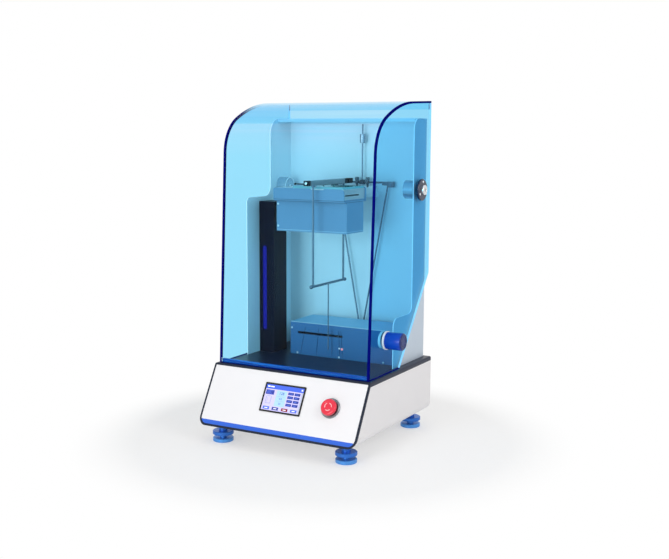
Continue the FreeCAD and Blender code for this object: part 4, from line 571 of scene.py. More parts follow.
def tint_of_bend(tree, place, tint, steep):
    """Deeper tint above the start of the bend, and a painted highlight, a pale band that fades downwards from it."""
    height = add_node(tree, "ShaderNodeSeparateXYZ", None, {0: place})
    above = add_node(tree, "ShaderNodeMapRange", {"From Min": BEND_START - BEND_SOFT, "From Max": BEND_START + BEND_SOFT},
                     {"Value": height.outputs["Z"]})
    climb = add_node(tree, "ShaderNodeMapRange", {"From Min": BEND_START, "From Max": sheet_high.z, "To Min": 0.3},
                     {"Value": height.outputs["Z"]})
    drawn = add_node(tree, "ShaderNodeMapping", {"Scale": (0.03, 0.3, 1.0)}, {"Vector": place})
    streaks = add_node(tree, "ShaderNodeTexNoise", {"Scale": cells_per_metre(STREAK_MM), "Detail": 3.0},
                       {"Vector": drawn.outputs[0]})
    depth = add_node(tree, "ShaderNodeMapRange", {"From Min": 0.3, "From Max": 0.7, "To Min": 0.35, "To Max": 1.0},
                     {"Value": streaks.outputs["Fac"]})
    deep_share = add_node(tree, "ShaderNodeMath", {"operation": "MULTIPLY"},
                          {0: above.outputs[0], 1: depth.outputs[0]})
    deep_share = add_node(tree, "ShaderNodeMath", {"operation": "MULTIPLY"},
                          {0: deep_share.outputs[0], 1: climb.outputs[0]})
    deep = add_node(tree, "ShaderNodeMix", {"data_type": "RGBA", 7: linear("#b9e7fb")},
                    {0: deep_share.outputs[0], 6: tint.outputs[2]})
    # Painted highlight: a pale band in level streaks below the bend, for the lamps that the bend mirrors.
    near = add_node(tree, "ShaderNodeMapRange", {"From Min": BEND_START - HIGHLIGHT_TALL, "From Max": BEND_START,
                                                 "To Max": HIGHLIGHT_MOST}, {"Value": height.outputs["Z"]})
    below = add_node(tree, "ShaderNodeMath", {"operation": "SUBTRACT", 0: 1.0}, {1: above.outputs[0]})
    painted_highlight = add_node(tree, "ShaderNodeMath", {"operation": "MULTIPLY"}, {0: near.outputs[0], 1: below.outputs[0]})
    streaked = add_node(tree, "ShaderNodeMath", {"operation": "MULTIPLY"}, {0: painted_highlight.outputs[0], 1: depth.outputs[0]})
    return add_node(tree, "ShaderNodeMix", {"data_type": "RGBA", 7: linear("#f8f9ff")},
                    {0: streaked.outputs[0], 6: deep.outputs[2]})


def edge_of_bend(tree, place):
    """The bent sheet's two ends, with the narrow band beside them where the edge's colour shows through."""
    across = add_node(tree, "ShaderNodeSeparateXYZ", None, {0: place})
    middle = (sheet_low.x + sheet_high.x) / 2
    offset = add_node(tree, "ShaderNodeMath", {"operation": "SUBTRACT", 1: middle}, {0: across.outputs["X"]})
    size = add_node(tree, "ShaderNodeMath", {"operation": "ABSOLUTE"}, {0: offset.outputs[0]})
    reach = (sheet_high.x - sheet_low.x) / 2 - EDGE_BAND
    ends = add_node(tree, "ShaderNodeMath", {"operation": "GREATER_THAN", 1: reach}, {0: size.outputs[0]})
    foot = add_node(tree, "ShaderNodeMath", {"operation": "LESS_THAN", 1: sheet_low.z + 1.5 * MM},
                    {0: across.outputs["Z"]})
    either = add_node(tree, "ShaderNodeMath", {"operation": "MAXIMUM"}, {0: ends.outputs[0], 1: foot.outputs[0]})
    return add_node(tree, "ShaderNodeMath", {"operation": "MULTIPLY"},
                    {0: either.outputs[0], 1: away_from_left_top(tree, place)}).outputs[0], None


dress(clear_sheet("hood_bent_acrylic", HOOD_TINT, HOOD_SLANT, EDGE_NAVY, edge_of_bend, tint_of_bend),
      "hood_front_sheet")
dress(clear_sheet("hood_left_acrylic", HOOD_TINT, HOOD_SLANT, "#d4effb", edge_of_side), "hood_left_side")
dress(clear_sheet("hood_right_acrylic", RIGHT_SHADE_TINT, RIGHT_SHADE_SLANT, "#d4effb", edge_of_side), "hood_right_side")
dress(clear_sheet("hood_rail_acrylic", HOOD_TINT, HOOD_SLANT, EDGE_NAVY, edge_by_normal("X", 0.5, 2.0)),
      "hood_rear_rail")
dress(streaked_edge("hood_foot_acrylic", "#1f74cc", "#0c3f9c"), "hood_bottom_rail")
dress(clear_sheet("plate_float_glass", "#e6f7f2", "#9fdcd2", "#8fc4cc", edge_by_normal("Z", -1.0, 0.5)),
      "glass_plate")
print("sheets dressed")

# %% [markdown]
# ## Helpers for modelling
# Blender's operators act on whatever is selected, so each piece starts from a clean selection. `start` adds a
# primitive at the origin, `pick` selects faces or edges by a test on their place, and `settle` closes the mesh,
# smooths it by angle, puts it in its place, gives it a finish and lets it ride on the CAD body that carries it.

# %% Modelling helpers
OUTWARD = {"+X": Vector((1, 0, 0)), "-X": Vector((-1, 0, 0)), "+Y": Vector((0, 1, 0)), "-Y": Vector((0, -1, 0)),
           "+Z": Vector((0, 0, 1)), "-Z": Vector((0, 0, -1))}


def start(primitive, **sizes):
    """Add one primitive at the origin and go into edit mode with it."""
    if bpy.context.mode != "OBJECT":
        bpy.ops.object.mode_set(mode="OBJECT")
    bpy.ops.object.select_all(action="DESELECT")
    primitive(location=(0, 0, 0), **sizes)
    piece = bpy.context.object
    bpy.ops.object.mode_set(mode="EDIT")
    return piece


def pick(piece, kind, test):
    """In edit mode, select only the faces, edges or vertices that pass the test on their middle and direction."""
    bpy.ops.mesh.select_mode(type=kind)
    bpy.ops.mesh.select_all(action="DESELECT")
    shape = bmesh.from_edit_mesh(piece.data)
    shape.normal_update()
    if kind == "FACE":
        chosen = [f for f in shape.faces if test(f.calc_center_median(), f.normal)]
    elif kind == "EDGE":
        chosen = [e for e in shape.edges if test((e.verts[0].co + e.verts[1].co) / 2,
                                                 (e.verts[1].co - e.verts[0].co).normalized())]
    else:
        chosen = [v for v in shape.verts if test(v.co, v.normal)]
    for element in chosen:
        element.select_set(True)
    shape.select_flush_mode()
    bmesh.update_edit_mesh(piece.data)
    return len(chosen)


def drum(radius, length, sides=48):
    """A cylinder that stands on the origin along +Z, in edit mode."""
    piece = start(bpy.ops.mesh.primitive_cylinder_add, vertices=sides, radius=radius, depth=length,
                  end_fill_type="NGON")
    bpy.ops.mesh.select_all(action="SELECT")
    bpy.ops.transform.translate(value=(0, 0, length / 2))
    return piece


def top_face(piece):
    """Select the highest face that looks up."""
    high = max(v.co.z for v in bmesh.from_edit_mesh(piece.data).verts)
    return pick(piece, "FACE", lambda middle, way: way.z > 0.99 and abs(middle.z - high) < 1e-6)


def round_rim(piece, height, width, segments=3):
    """Bevel the ring of edges at one height."""
    count = pick(piece, "EDGE", lambda middle, way: abs(middle.z - height) < 1e-6 and abs(way.z) < 1e-3)
    bpy.ops.mesh.bevel(offset=width, segments=segments, affect="EDGES", clamp_overlap=True)
    return count


def aim(piece, place, outward, twist=0.0):
    """Stand the piece on a place, so that its +Z looks outward, and write that into its mesh."""
    if bpy.context.mode != "OBJECT":
        bpy.ops.object.mode_set(mode="OBJECT")
    turn = outward.to_track_quat("Z", "Y").to_matrix().to_4x4()
    piece.matrix_world = Matrix.Translation(place) @ turn @ Matrix.Rotation(twist, 4, "Z")
    bpy.ops.object.select_all(action="DESELECT")
    piece.select_set(True)
    bpy.context.view_layer.objects.active = piece
    bpy.ops.object.transform_apply(location=True, rotation=True, scale=True)


def cut_with(piece, cutter):
    """Cut one piece out of another and throw the cutter away."""
    if bpy.context.mode != "OBJECT":
        bpy.ops.object.mode_set(mode="OBJECT")
    cut = piece.modifiers.new("cut", "BOOLEAN")
    cut.object = cutter
    cut.operation = "DIFFERENCE"
    cut.use_self = True
    bpy.ops.object.select_all(action="DESELECT")
    piece.select_set(True)
    bpy.context.view_layer.objects.active = piece
    bpy.ops.object.modifier_apply(modifier=cut.name)
    bpy.data.objects.remove(cutter)


def copy_of(piece):
    """Another piece with a mesh of its own."""
    twin = piece.copy()
    twin.data = piece.data.copy()
    bpy.context.scene.collection.objects.link(twin)
    return twin


def join(pieces):
    """Make one piece of several."""
    if bpy.context.mode != "OBJECT":
        bpy.ops.object.mode_set(mode="OBJECT")
    bpy.ops.object.select_all(action="DESELECT")
    for piece in pieces:
        piece.select_set(True)
    bpy.context.view_layer.objects.active = pieces[0]
    bpy.ops.object.join()
    return pieces[0]


def settle(piece, name, body, material=None, replaces=(), merge=True, smooth=35):
    """Close and smooth a placed piece, name it, dress it and let it ride on its body."""
    if bpy.context.mode != "OBJECT":
        bpy.ops.object.mode_set(mode="OBJECT")
    bpy.ops.object.select_all(action="DESELECT")
    piece.select_set(True)
    bpy.context.view_layer.objects.active = piece
    bpy.ops.object.transform_apply(location=True, rotation=True, scale=True)
    bpy.ops.object.mode_set(mode="EDIT")
    bpy.ops.mesh.select_all(action="SELECT")
    if merge:
        bpy.ops.mesh.remove_doubles(threshold=1e-6)
    bpy.ops.mesh.normals_make_consistent(inside=False)
    bpy.ops.object.mode_set(mode="OBJECT")
    bpy.ops.object.shade_smooth_by_angle(angle=math.radians(smooth))
    piece.name = name
    piece.data.name = name
    if material:
        dress(material, name)
    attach(piece, body)
    if replaces:
        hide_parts(*replaces)
    print(name, "faces", len(piece.data.polygons), "on", body)
    return piece


def loose_boxes(node):
    """Lowest and highest corner of each separate solid in a CAD node, from left to right."""
    shape = bmesh.new()
    shape.from_mesh(bpy.data.objects[node].data)
    bmesh.ops.remove_doubles(shape, verts=shape.verts, dist=1e-6)
    left = set(shape.verts)
    boxes = []
    while left:
        wave = [left.pop()]
        seen = list(wave)
        while wave:
            near = [e.other_vert(v) for v in wave for e in v.link_edges]
            wave = [v for v in set(near) if v in left]
            left.difference_update(wave)
            seen.extend(wave)
        corners = [v.co for v in seen]
        boxes.append((Vector([min(c[i] for c in corners) for i in range(3)]),
                      Vector([max(c[i] for c in corners) for i in range(3)])))
    shape.free()
    return sorted(boxes, key=lambda b: tuple(round(v, 4) for v in b[0]))


print("helpers ready")

# %% [markdown]
# ## Screws
# The sheets are held by small pan-head screws with a cross recess. CAD has plain discs there. One head is turned
# from a short drum: its rim is bevelled into the pan, and a Boolean cuts the cross. Then it is copied to the place
# of every disc, which is read from the CAD node.

# %% One pan-head screw
HEAD_HEIGHT = 1.4 * MM
RECESS_WIDTH = 0.7 * MM
RECESS_SHARE = 1.25          # length of the cross against the head's radius
RECESS_DEPTH = 0.8 * MM


def pan_head(radius, height):
    """A screw head with a rounded rim and a cross recess, standing on the origin."""
    head = drum(radius, height, 24)
    round_rim(head, height, height * 0.62, 3)
    bpy.ops.object.mode_set(mode="OBJECT")
    arms = []
    for turn in (0, math.pi / 2):
        arm = start(bpy.ops.mesh.primitive_cube_add, size=1.0)
        bpy.ops.transform.resize(value=(radius * RECESS_SHARE, RECESS_WIDTH, RECESS_DEPTH * 2))
        ends = pick(arm, "FACE", lambda middle, way: abs(way.x) > 0.9)
        bpy.ops.transform.resize(value=(1, 0.6, 1))
        bpy.ops.object.mode_set(mode="OBJECT")
        arm.rotation_euler.z = turn
        arm.location.z = height
        arms.append(arm)
    cut_with(head, join(arms))
    return head


def outward_of(box, carrier_middle):
    """A disc's thin direction, on the side away from the middle of what it is screwed to."""
    size = box[1] - box[0]
    axis = min(range(3), key=lambda i: size[i])
    sign = 1 if (box[0][axis] + box[1][axis]) / 2 > carrier_middle[axis] else -1
    way = Vector((0, 0, 0))
    way[axis] = sign
    return way, max(size) / 2, size[axis]


def screw_all(node, name, body, material, carrier_middle):
    """Put a copy of one pan head on each disc of a node."""
    heads = []
    model = None
    for number, box in enumerate(loose_boxes(node)):
        way, radius, height = outward_of(box, carrier_middle)
        if model is None:
            model = pan_head(radius, height)
        middle = (box[0] + box[1]) / 2
        head = copy_of(model)
        aim(head, middle - way * height / 2, way, math.radians(17 + 41 * number))
        heads.append(head)
    bpy.data.objects.remove(model)
    return settle(join(heads), name, body, material, (node,), merge=False)


screw_metal = bpy.data.materials["screw_plated_steel"]
box_low, box_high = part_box("base_shell")
screw_all("cover_screws", "pan_screws", "cabinet", screw_metal,
          Vector((0, (box_low.y + box_high.y) / 2 + 0.12, 0)))
screw_all("hinge_disc_screws", "disc_pan_screws", "hood", screw_metal, Vector((-0.0168, 0, 0)))

# %% [markdown]
# ## The back
# The photograph doesn't show the back, so it gets what such a cabinet has: louvres pressed out of the rear panel
# over the power supply, a line of screws down each side of the tower, and brass blades in the mains inlet.

# %% Louvres in the rear panel
LOUVRE = (46.0 * MM, 5.5 * MM, 3.2 * MM)    # length, height and how far its mouth stands out
LOUVRE_PITCH = 9.0 * MM
LOUVRE_ROWS = 6
LOUVRE_COLUMNS = (-138.0 * MM, -82.0 * MM)
LOUVRE_TOP_Z = 128.0 * MM
panel_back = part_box("rear_panel")[1].y
model = start(bpy.ops.mesh.primitive_cube_add, size=1.0)
bpy.ops.mesh.select_all(action="SELECT")
bpy.ops.transform.resize(value=LOUVRE)
bpy.ops.transform.translate(value=(0, 0, LOUVRE[2] / 2))
pick(model, "EDGE", lambda middle, way: middle.y > 0 and middle.z > LOUVRE[2] * 0.9 and abs(way.x) > 0.9)
bpy.ops.transform.translate(value=(0, 0, -LOUVRE[2] * 0.85))
pick(model, "FACE", lambda middle, way: way.z > 0.1)
bpy.ops.mesh.bevel(offset=0.7 * MM, segments=3, affect="EDGES", clamp_overlap=True)
bpy.ops.object.mode_set(mode="OBJECT")
louvres = []
for column in LOUVRE_COLUMNS:
    for row in range(LOUVRE_ROWS):
        louvre = copy_of(model)
        aim(louvre, Vector((column, panel_back, LOUVRE_TOP_Z - row * LOUVRE_PITCH)), OUTWARD["+Y"])
        louvres.append(louvre)
bpy.data.objects.remove(model)
settle(join(louvres), "rear_louvres", "cabinet", bpy.data.materials["cabinet_powder_white"],
       merge=False)
print("louvres", len(louvres))

# %% Screws down the tower's back
TOWER_SCREW_R = 3.2 * MM
TOWER_SCREW_HIGH = 1.5 * MM
TOWER_SCREW_INSET = 11.0 * MM
TOWER_SCREW_ROWS = 5
wall_low, wall_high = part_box("tower_back")
model = pan_head(TOWER_SCREW_R, TOWER_SCREW_HIGH)
heads = []
for row in range(TOWER_SCREW_ROWS):
    share = (row + 0.5) / TOWER_SCREW_ROWS
    height = wall_low.z + share * (wall_high.z - wall_low.z)
    for x in (wall_low.x + TOWER_SCREW_INSET, wall_high.x - TOWER_SCREW_INSET):
        head = copy_of(model)
        aim(head, Vector((x, wall_high.y, height)), OUTWARD["+Y"], math.radians(33 * row + 400 * x))
        heads.append(head)
bpy.data.objects.remove(model)
settle(join(heads), "tower_screws", "cabinet", screw_metal, merge=False)
print("tower screws", len(heads))

# %% Blades of the mains inlet
BLADE = (2.2 * MM, 4.2 * MM, 10.2 * MM)
BLADE_DEEP = 16.0 * MM      # the socket's mouth to its floor
BLADE_PITCH = 7.0 * MM
BLADE_RISE = 2.0 * MM
inlet_low, inlet_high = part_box("mains_inlet")
inlet_x = (inlet_low.x + inlet_high.x) / 2
inlet_z = (inlet_low.z + inlet_high.z) / 2
model = start(bpy.ops.mesh.primitive_cube_add, size=1.0)
bpy.ops.mesh.select_all(action="SELECT")
bpy.ops.transform.resize(value=BLADE)
bpy.ops.transform.translate(value=(0, 0, BLADE[2] / 2 - BLADE_DEEP))
pick(model, "FACE", lambda middle, way: way.z > 0.9)
bpy.ops.mesh.bevel(offset=0.6 * MM, segments=2, affect="EDGES", clamp_overlap=True)
bpy.ops.object.mode_set(mode="OBJECT")
blades = []
for step, rise in ((-1, -BLADE_RISE), (0, BLADE_RISE), (1, -BLADE_RISE)):
    blade = copy_of(model)
    aim(blade, Vector((inlet_x + step * BLADE_PITCH, inlet_high.y, inlet_z + rise)), OUTWARD["+Y"])
    blades.append(blade)
bpy.data.objects.remove(model)
settle(join(blades), "inlet_blades", "cabinet",
       ground_metal("blade_nickelled_brass", "#cdbb8a", 0.3, Y_LINES), merge=False)
print("blades", len(blades))

# %% [markdown]
# ## Hinge caps
# The hood turns on two bright caps with a rounded rim and a hexagon socket. Each CAD cap and pin is one solid, so the
# new one keeps the pin: a drum is turned, its outer end is bevelled, and the socket is inset and pushed in.

# %% Hinge caps with sockets
SOCKET_R = 4.0 * MM
SOCKET_DEPTH = 2.5 * MM
CAP_ROUND = 1.8 * MM
SHANK_SHARE = 0.66          # radius of the pin's shank against its cap's
disc_boxes = loose_boxes("hinge_discs")


def hinge_cap(pin_box, disc_box, side):
    """Cap outside the disc, with a hexagon socket, and the shank that runs into the boss."""
    outward = OUTWARD["+X"] * side
    outer, inner = (pin_box[1].x, pin_box[0].x) if side > 0 else (pin_box[0].x, pin_box[1].x)
    disc_face = disc_box[1].x if side > 0 else disc_box[0].x
    centre = (pin_box[0] + pin_box[1]) / 2
    radius = (pin_box[1].z - pin_box[0].z) / 2
    length = abs(outer - disc_face)
    cap = drum(radius, length, 48)
    round_rim(cap, length, CAP_ROUND, 4)
    top_face(cap)
    bpy.ops.mesh.inset(thickness=radius * 0.3, depth=0)
    bpy.ops.mesh.inset(thickness=0.5 * MM, depth=-0.4 * MM)
    socket = drum(SOCKET_R, 2 * SOCKET_DEPTH, 6)
    bpy.ops.transform.translate(value=(0, 0, length - SOCKET_DEPTH))
    cut_with(cap, socket)
    aim(cap, Vector((disc_face, centre.y, centre.z)), outward)
    shank_length = abs(disc_face - inner)
    shank = drum(radius * SHANK_SHARE, shank_length, 32)
    round_rim(shank, shank_length, 1.0 * MM, 2)
    aim(shank, Vector((disc_face, centre.y, centre.z)), -outward)
    return join([cap, shank])


pin_boxes = loose_boxes("hinge_pins")
caps = [hinge_cap(pin_boxes[0], disc_boxes[0], -1), hinge_cap(pin_boxes[-1], disc_boxes[-1], 1)]
settle(join(caps), "hinge_caps", "cabinet", bpy.data.materials["cap_chromed_steel"], ("hinge_pins",),
       merge=False)

# %% Screws in the ends of the bosses
boss_boxes = loose_boxes("hinge_bosses")
BOSS_SCREW_R = 3.5 * MM
model = pan_head(BOSS_SCREW_R, HEAD_HEIGHT)
heads = []
for box, way in ((boss_boxes[0], "+X"), (boss_boxes[-1], "-X")):
    centre = (box[0] + box[1]) / 2
    face = box[1].x if way == "+X" else box[0].x
    head = copy_of(model)
    aim(head, Vector((face, centre.y, centre.z)), OUTWARD[way], math.radians(25))
    heads.append(head)
bpy.data.objects.remove(model)
settle(join(heads), "boss_screws", "cabinet", screw_metal, merge=False)

# %% Rims on the ends of the bosses
RIM_WIDTH = 2.2 * MM
RIM_PROUD = 0.6 * MM
rims = []
for box, way in ((boss_boxes[0], "+X"), (boss_boxes[-1], "-X")):
    centre = (box[0] + box[1]) / 2
    face = box[1].x if way == "+X" else box[0].x
    boss_r = (box[1].z - box[0].z) / 2
    rim = drum(boss_r, RIM_PROUD, 64)
    hole = drum(boss_r - RIM_WIDTH, 3 * RIM_PROUD, 64)
    bpy.ops.transform.translate(value=(0, 0, -RIM_PROUD))
    cut_with(rim, hole)
    bpy.ops.object.mode_set(mode="EDIT")
    round_rim(rim, RIM_PROUD, 0.25 * MM, 2)
    aim(rim, Vector((face, centre.y, centre.z)), OUTWARD[way])
    rims.append(rim)
settle(join(rims), "boss_rims", "cabinet", bpy.data.materials["ring_white"], merge=False)

# %% [markdown]
# ## The lift knob
# The knob is turned from blue plastic. Its end is rounded over and has a shallow dish with a raised ring in it, which
# a plain cylinder lacks. Inset with a depth makes each step of that dish in one move.

# %% Lift knob
KNOB_ROUND = 4.0 * MM
knob_low, knob_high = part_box("lift_knob")
ring_boxes = loose_boxes("knob_rings")
knob_r = (knob_high.z - knob_low.z) / 2
knob_start = ring_boxes[-1][1].x
knob_length = knob_high.x - knob_start
knob_axis = Vector((knob_start, (knob_low.y + knob_high.y) / 2, (knob_low.z + knob_high.z) / 2))
knob = drum(knob_r, knob_length, 72)
round_rim(knob, knob_length, KNOB_ROUND, 6)
round_rim(knob, 0.0, 0.8 * MM, 2)
top_face(knob)
bpy.ops.mesh.inset(thickness=1.6 * MM, depth=0)
bpy.ops.mesh.inset(thickness=0.9 * MM, depth=-0.9 * MM)
bpy.ops.mesh.inset(thickness=2.6 * MM, depth=0)
bpy.ops.mesh.inset(thickness=0.5 * MM, depth=0.5 * MM)
bpy.ops.mesh.inset(thickness=1.2 * MM, depth=0)
bpy.ops.mesh.inset(thickness=0.5 * MM, depth=-0.5 * MM)
aim(knob, knob_axis, OUTWARD["+X"])
stud_length = knob_start - knob_low.x
stud = drum(knob_r * 0.2, stud_length, 24)
round_rim(stud, stud_length, 0.5 * MM, 1)
aim(stud, knob_axis, OUTWARD["-X"])
settle(join([knob, stud]), "lift_knob_turned", "hood", bpy.data.materials["knob_gloss_blue"],
       ("lift_knob",), merge=False)

# %% [markdown]
# ## The stop button
# The red head is a mushroom with a soft rim and a slightly dished top. Three curved arrows on it show which way it
# twists free. Their arcs are cut from one flat ring, made from a circle by an extrude that shrinks, and each gets a
# three-cornered point.

# %% Directions on the sloping panel
across = Vector((1, 0, 0))
upslope = panel_out.cross(across).normalized()
if upslope.z < 0:
    upslope = -upslope


def spans(node, *ways):
    """How far a node reaches along each direction: (lowest, highest) for each."""
    corners = [v.co for v in bpy.data.objects[node].data.vertices]
    return [(min(c.dot(way) for c in corners), max(c.dot(way) for c in corners)) for way in ways]


def on_panel(u, v, w):
    """A point by its distances along the three directions of the panel."""
    return across * u + upslope * v + panel_out * w


print("upslope", tuple(round(c, 4) for c in upslope))

# %% Stop button head
HEAD_ROUND = 4.2 * MM
DISH = 5.5 * MM
ARROW_R = 8.6 * MM
ARROW_WIDTH = 1.6 * MM
ARROW_SWEEP = math.radians(62)
ARROWS = 3
PRINT_THICK = 0.12 * MM
span_u, span_v, span_w = spans("stop_head", across, upslope, panel_out)
collar_w = spans("stop_collar", panel_out)[0][1]
head_r = (span_u[1] - span_u[0]) / 2
head_centre = ((span_u[0] + span_u[1]) / 2, (span_v[0] + span_v[1]) / 2)
head_base = max(span_w[0], collar_w + 1.0 * MM)
head_height = span_w[1] - head_base
button = drum(head_r, head_height, 64)
round_rim(button, head_height, HEAD_ROUND, 7)
round_rim(button, 0.0, 0.9 * MM, 2)
top_face(button)
bpy.ops.mesh.inset(thickness=1.5 * MM, depth=0)
bpy.ops.mesh.inset(thickness=DISH - 3 * MM, depth=-0.7 * MM)
bpy.ops.mesh.inset(thickness=3.0 * MM, depth=-0.3 * MM)
aim(button, on_panel(*head_centre, head_base), panel_out)
stem_w = span_w[0]
stem = drum(head_r * 0.55, head_base - stem_w + 0.5 * MM, 32)
round_rim(stem, 0.0, 0.5 * MM, 1)
aim(stem, on_panel(*head_centre, stem_w), panel_out)
settle(join([button, stem]), "stop_button_head", "stop_head", bpy.data.materials["stop_red"],
       ("stop_head",), merge=False)

# %% Arrows on the button
ARROW_STEP = 2 * math.pi / ARROWS


def thicken(piece, thickness):
    """Give a flat sheet a thickness on the side that it faces, with Solidify."""
    if bpy.context.mode != "OBJECT":
        bpy.ops.object.mode_set(mode="OBJECT")
    wall = piece.modifiers.new("wall", "SOLIDIFY")
    wall.thickness = thickness
    wall.offset = 1.0
    bpy.ops.object.select_all(action="DESELECT")
    piece.select_set(True)
    bpy.context.view_layer.objects.active = piece
    bpy.ops.object.modifier_apply(modifier=wall.name)


arcs = start(bpy.ops.mesh.primitive_circle_add, vertices=72, radius=ARROW_R + ARROW_WIDTH / 2, fill_type="NOTHING")
bpy.ops.mesh.select_all(action="SELECT")
bpy.ops.mesh.extrude_region_move()
shrink = (ARROW_R - ARROW_WIDTH / 2) / (ARROW_R + ARROW_WIDTH / 2)
bpy.ops.transform.resize(value=(shrink, shrink, 1))
pick(arcs, "FACE", lambda middle, way: math.atan2(middle.y, middle.x) % ARROW_STEP > ARROW_SWEEP)
bpy.ops.mesh.delete(type="FACE")
bpy.ops.mesh.select_all(action="SELECT")
bpy.ops.mesh.normals_make_consistent(inside=False)
if bmesh.from_edit_mesh(arcs.data).faces[0].normal.z < 0:
    bpy.ops.mesh.flip_normals()
thicken(arcs, PRINT_THICK)
points = [arcs]
for number in range(ARROWS):
    point = start(bpy.ops.mesh.primitive_circle_add, vertices=3, radius=ARROW_WIDTH * 1.5, fill_type="NGON")
    bpy.ops.mesh.select_all(action="SELECT")
    bpy.ops.transform.translate(value=(ARROW_R, 0, 0))
    thicken(point, PRINT_THICK)
    point.rotation_euler.z = number * ARROW_STEP + ARROW_SWEEP + math.radians(4)
    points.append(point)
arrows = join(points)
DISH_FLOOR = 0.98 * MM      # how far the dished top lies below the head's highest ring
aim(arrows, on_panel(*head_centre, span_w[1] - DISH_FLOOR), panel_out)
settle(arrows, "stop_button_arrows", "stop_head", moulded("arrow_print_white", "#f3c9cd", 0.5),
       merge=False)

# %% [markdown]
# ## The touch screen
# The display shows a plain menu: a bar along the top, a reading in the middle, rows of keys and a small gauge. Each
# tile is a plane with its corners bevelled and a hair of thickness. A liquid crystal display is lit from behind and
# has a fine grid of dark gaps between its pixels, drawn here at half a millimetre so that it can be seen close up.

# %% Display finish
PIXEL_MM = 0.5
GRID_SHARE = 0.06           # how much darker the gaps are


def lit_display(name, chart, light=0.42):
    """Back-lit display colour with a pixel grid, under slightly smeared glass."""
    material, tree, shader, place = start_finish(name, chart, 0.12)
    cells = add_node(tree, "ShaderNodeVectorMath", {"operation": "SCALE", "Scale": cells_per_metre(PIXEL_MM)},
                     {0: place})
    inside = add_node(tree, "ShaderNodeVectorMath", {"operation": "FRACTION"}, {0: cells.outputs[0]})
    sides = add_node(tree, "ShaderNodeSeparateXYZ", None, {0: inside.outputs[0]})
    grid = add_node(tree, "ShaderNodeMath", {"operation": "GREATER_THAN", 1: 0.15}, {0: sides.outputs["X"]})
    rows = add_node(tree, "ShaderNodeMath", {"operation": "GREATER_THAN", 1: 0.15}, {0: sides.outputs["Z"]})
    open_share = add_node(tree, "ShaderNodeMath", {"operation": "MULTIPLY"}, {0: grid.outputs[0], 1: rows.outputs[0]})
    bright = linear(chart)
    dark = [c * (1 - GRID_SHARE) for c in bright[:3]] + [1.0]
    colour = add_node(tree, "ShaderNodeMix", {"data_type": "RGBA", 6: dark, 7: bright}, {0: open_share.outputs[0]})
    smear = add_node(tree, "ShaderNodeTexNoise", {"Scale": cells_per_metre(14.0), "Detail": 4.0}, {"Vector": place})
    gloss = add_node(tree, "ShaderNodeMapRange", {"To Min": 0.08, "To Max": 0.25}, {"Value": smear.outputs["Fac"]})
    tree.links.new(colour.outputs[2], shader.inputs["Base Color"])
    tree.links.new(colour.outputs[2], shader.inputs["Emission Color"])
    tree.links.new(gloss.outputs[0], shader.inputs["Roughness"])
    shader.inputs["Emission Strength"].default_value = light
    return material


DISPLAY = {"field": "#bdb8e6", "middle": "#9cc2ee", "bar": "#3a5cd0", "block": "#2a3690", "key": "#27388c",
           "key_light": "#4b68cf", "key_red": "#7a1622", "paper": "#f2f3fb", "line": "#8f93b8", "edge": "#a9aec4"}
display_finish = {name: lit_display("display_" + name, chart) for name, chart in DISPLAY.items()}
print("display finishes", len(display_finish))

# %% Display tiles
FRAME_WIDE = 4.0 * MM       # black frame of the CAD node
WINDOW_SINK = 0.8 * MM
TILE_THICK = 0.12 * MM
screen_u, screen_v, screen_w = spans("touch_screen", across, upslope, panel_out)
face_v = [v.co.dot(upslope) for v in bpy.data.objects["touch_screen"].data.vertices
          if v.co.dot(panel_out) > screen_w[1] - 0.1 * MM]
window_u = (screen_u[0] + FRAME_WIDE, screen_u[1] - FRAME_WIDE)
window_v = (min(face_v) + FRAME_WIDE, max(face_v) - FRAME_WIDE)
window_w = screen_w[1] - WINDOW_SINK


def tile(left, top, width, height, colour, layer=1, corner=0.0):
    """One tile of the menu; left, top, width and height are shares of the display."""
    wide = width * (window_u[1] - window_u[0])
    tall = height * (window_v[1] - window_v[0])
    piece = start(bpy.ops.mesh.primitive_plane_add, size=1.0)
    bpy.ops.mesh.select_all(action="SELECT")
    bpy.ops.transform.resize(value=(wide, tall, 1))
    if corner:
        bpy.ops.mesh.bevel(offset=corner, segments=3, affect="VERTICES")
    thicken(piece, TILE_THICK)
    u = window_u[0] + (left + width / 2) * (window_u[1] - window_u[0])
    v = window_v[1] - (top + height / 2) * (window_v[1] - window_v[0])
    aim(piece, on_panel(u, v, window_w + (layer - 1) * TILE_THICK), panel_out)
    piece.data.materials.append(display_finish[colour])
    return piece


BAR_TALL = 0.17
KEY_ROWS = (0.215, 0.36, 0.505, 0.65)
KEY_TALL = 0.105
BOTTOM_KEYS = ((0.04, "key_light"), (0.28, "key"), (0.53, "key_red"), (0.77, "key_light"))
ROUND = 0.8 * MM
tiles = [tile(0, 0, 1, 1, "field"),
         tile(0, 0, 1, BAR_TALL, "bar", 2),
         tile(0.31, 0.2, 0.27, 0.61, "middle", 2, ROUND),
         tile(0.955, BAR_TALL, 0.045, 1 - BAR_TALL, "edge", 2),
         tile(0.02, 0.21, 0.22, 0.18, "block", 2, ROUND),
         tile(0.04, 0.235, 0.17, 0.02, "key_light", 3),
         tile(0.04, 0.285, 0.12, 0.02, "key_light", 3),
         tile(0.04, 0.335, 0.15, 0.02, "key_light", 3),
         tile(0.03, 0.06, 0.07, 0.045, "paper", 3, 0.3 * MM),
         tile(0.12, 0.06, 0.09, 0.045, "paper", 3, 0.3 * MM)]
for number, top in enumerate(KEY_ROWS):
    tiles.append(tile(0.61, top, 0.15, KEY_TALL, "key", 2, ROUND))
    tiles.append(tile(0.78, top, 0.15, KEY_TALL, "key", 2, ROUND))
    tiles.append(tile(0.64, top + 0.04, 0.09, 0.025, "key_light", 3))
    tiles.append(tile(0.81, top + 0.04, 0.07, 0.025, "key_light", 3))
for left, colour in BOTTOM_KEYS:
    tiles.append(tile(left, 0.85, 0.17, 0.115, colour, 2, ROUND))
    tiles.append(tile(left + 0.045, 0.895, 0.08, 0.028, "paper", 3))
print("tiles", len(tiles))

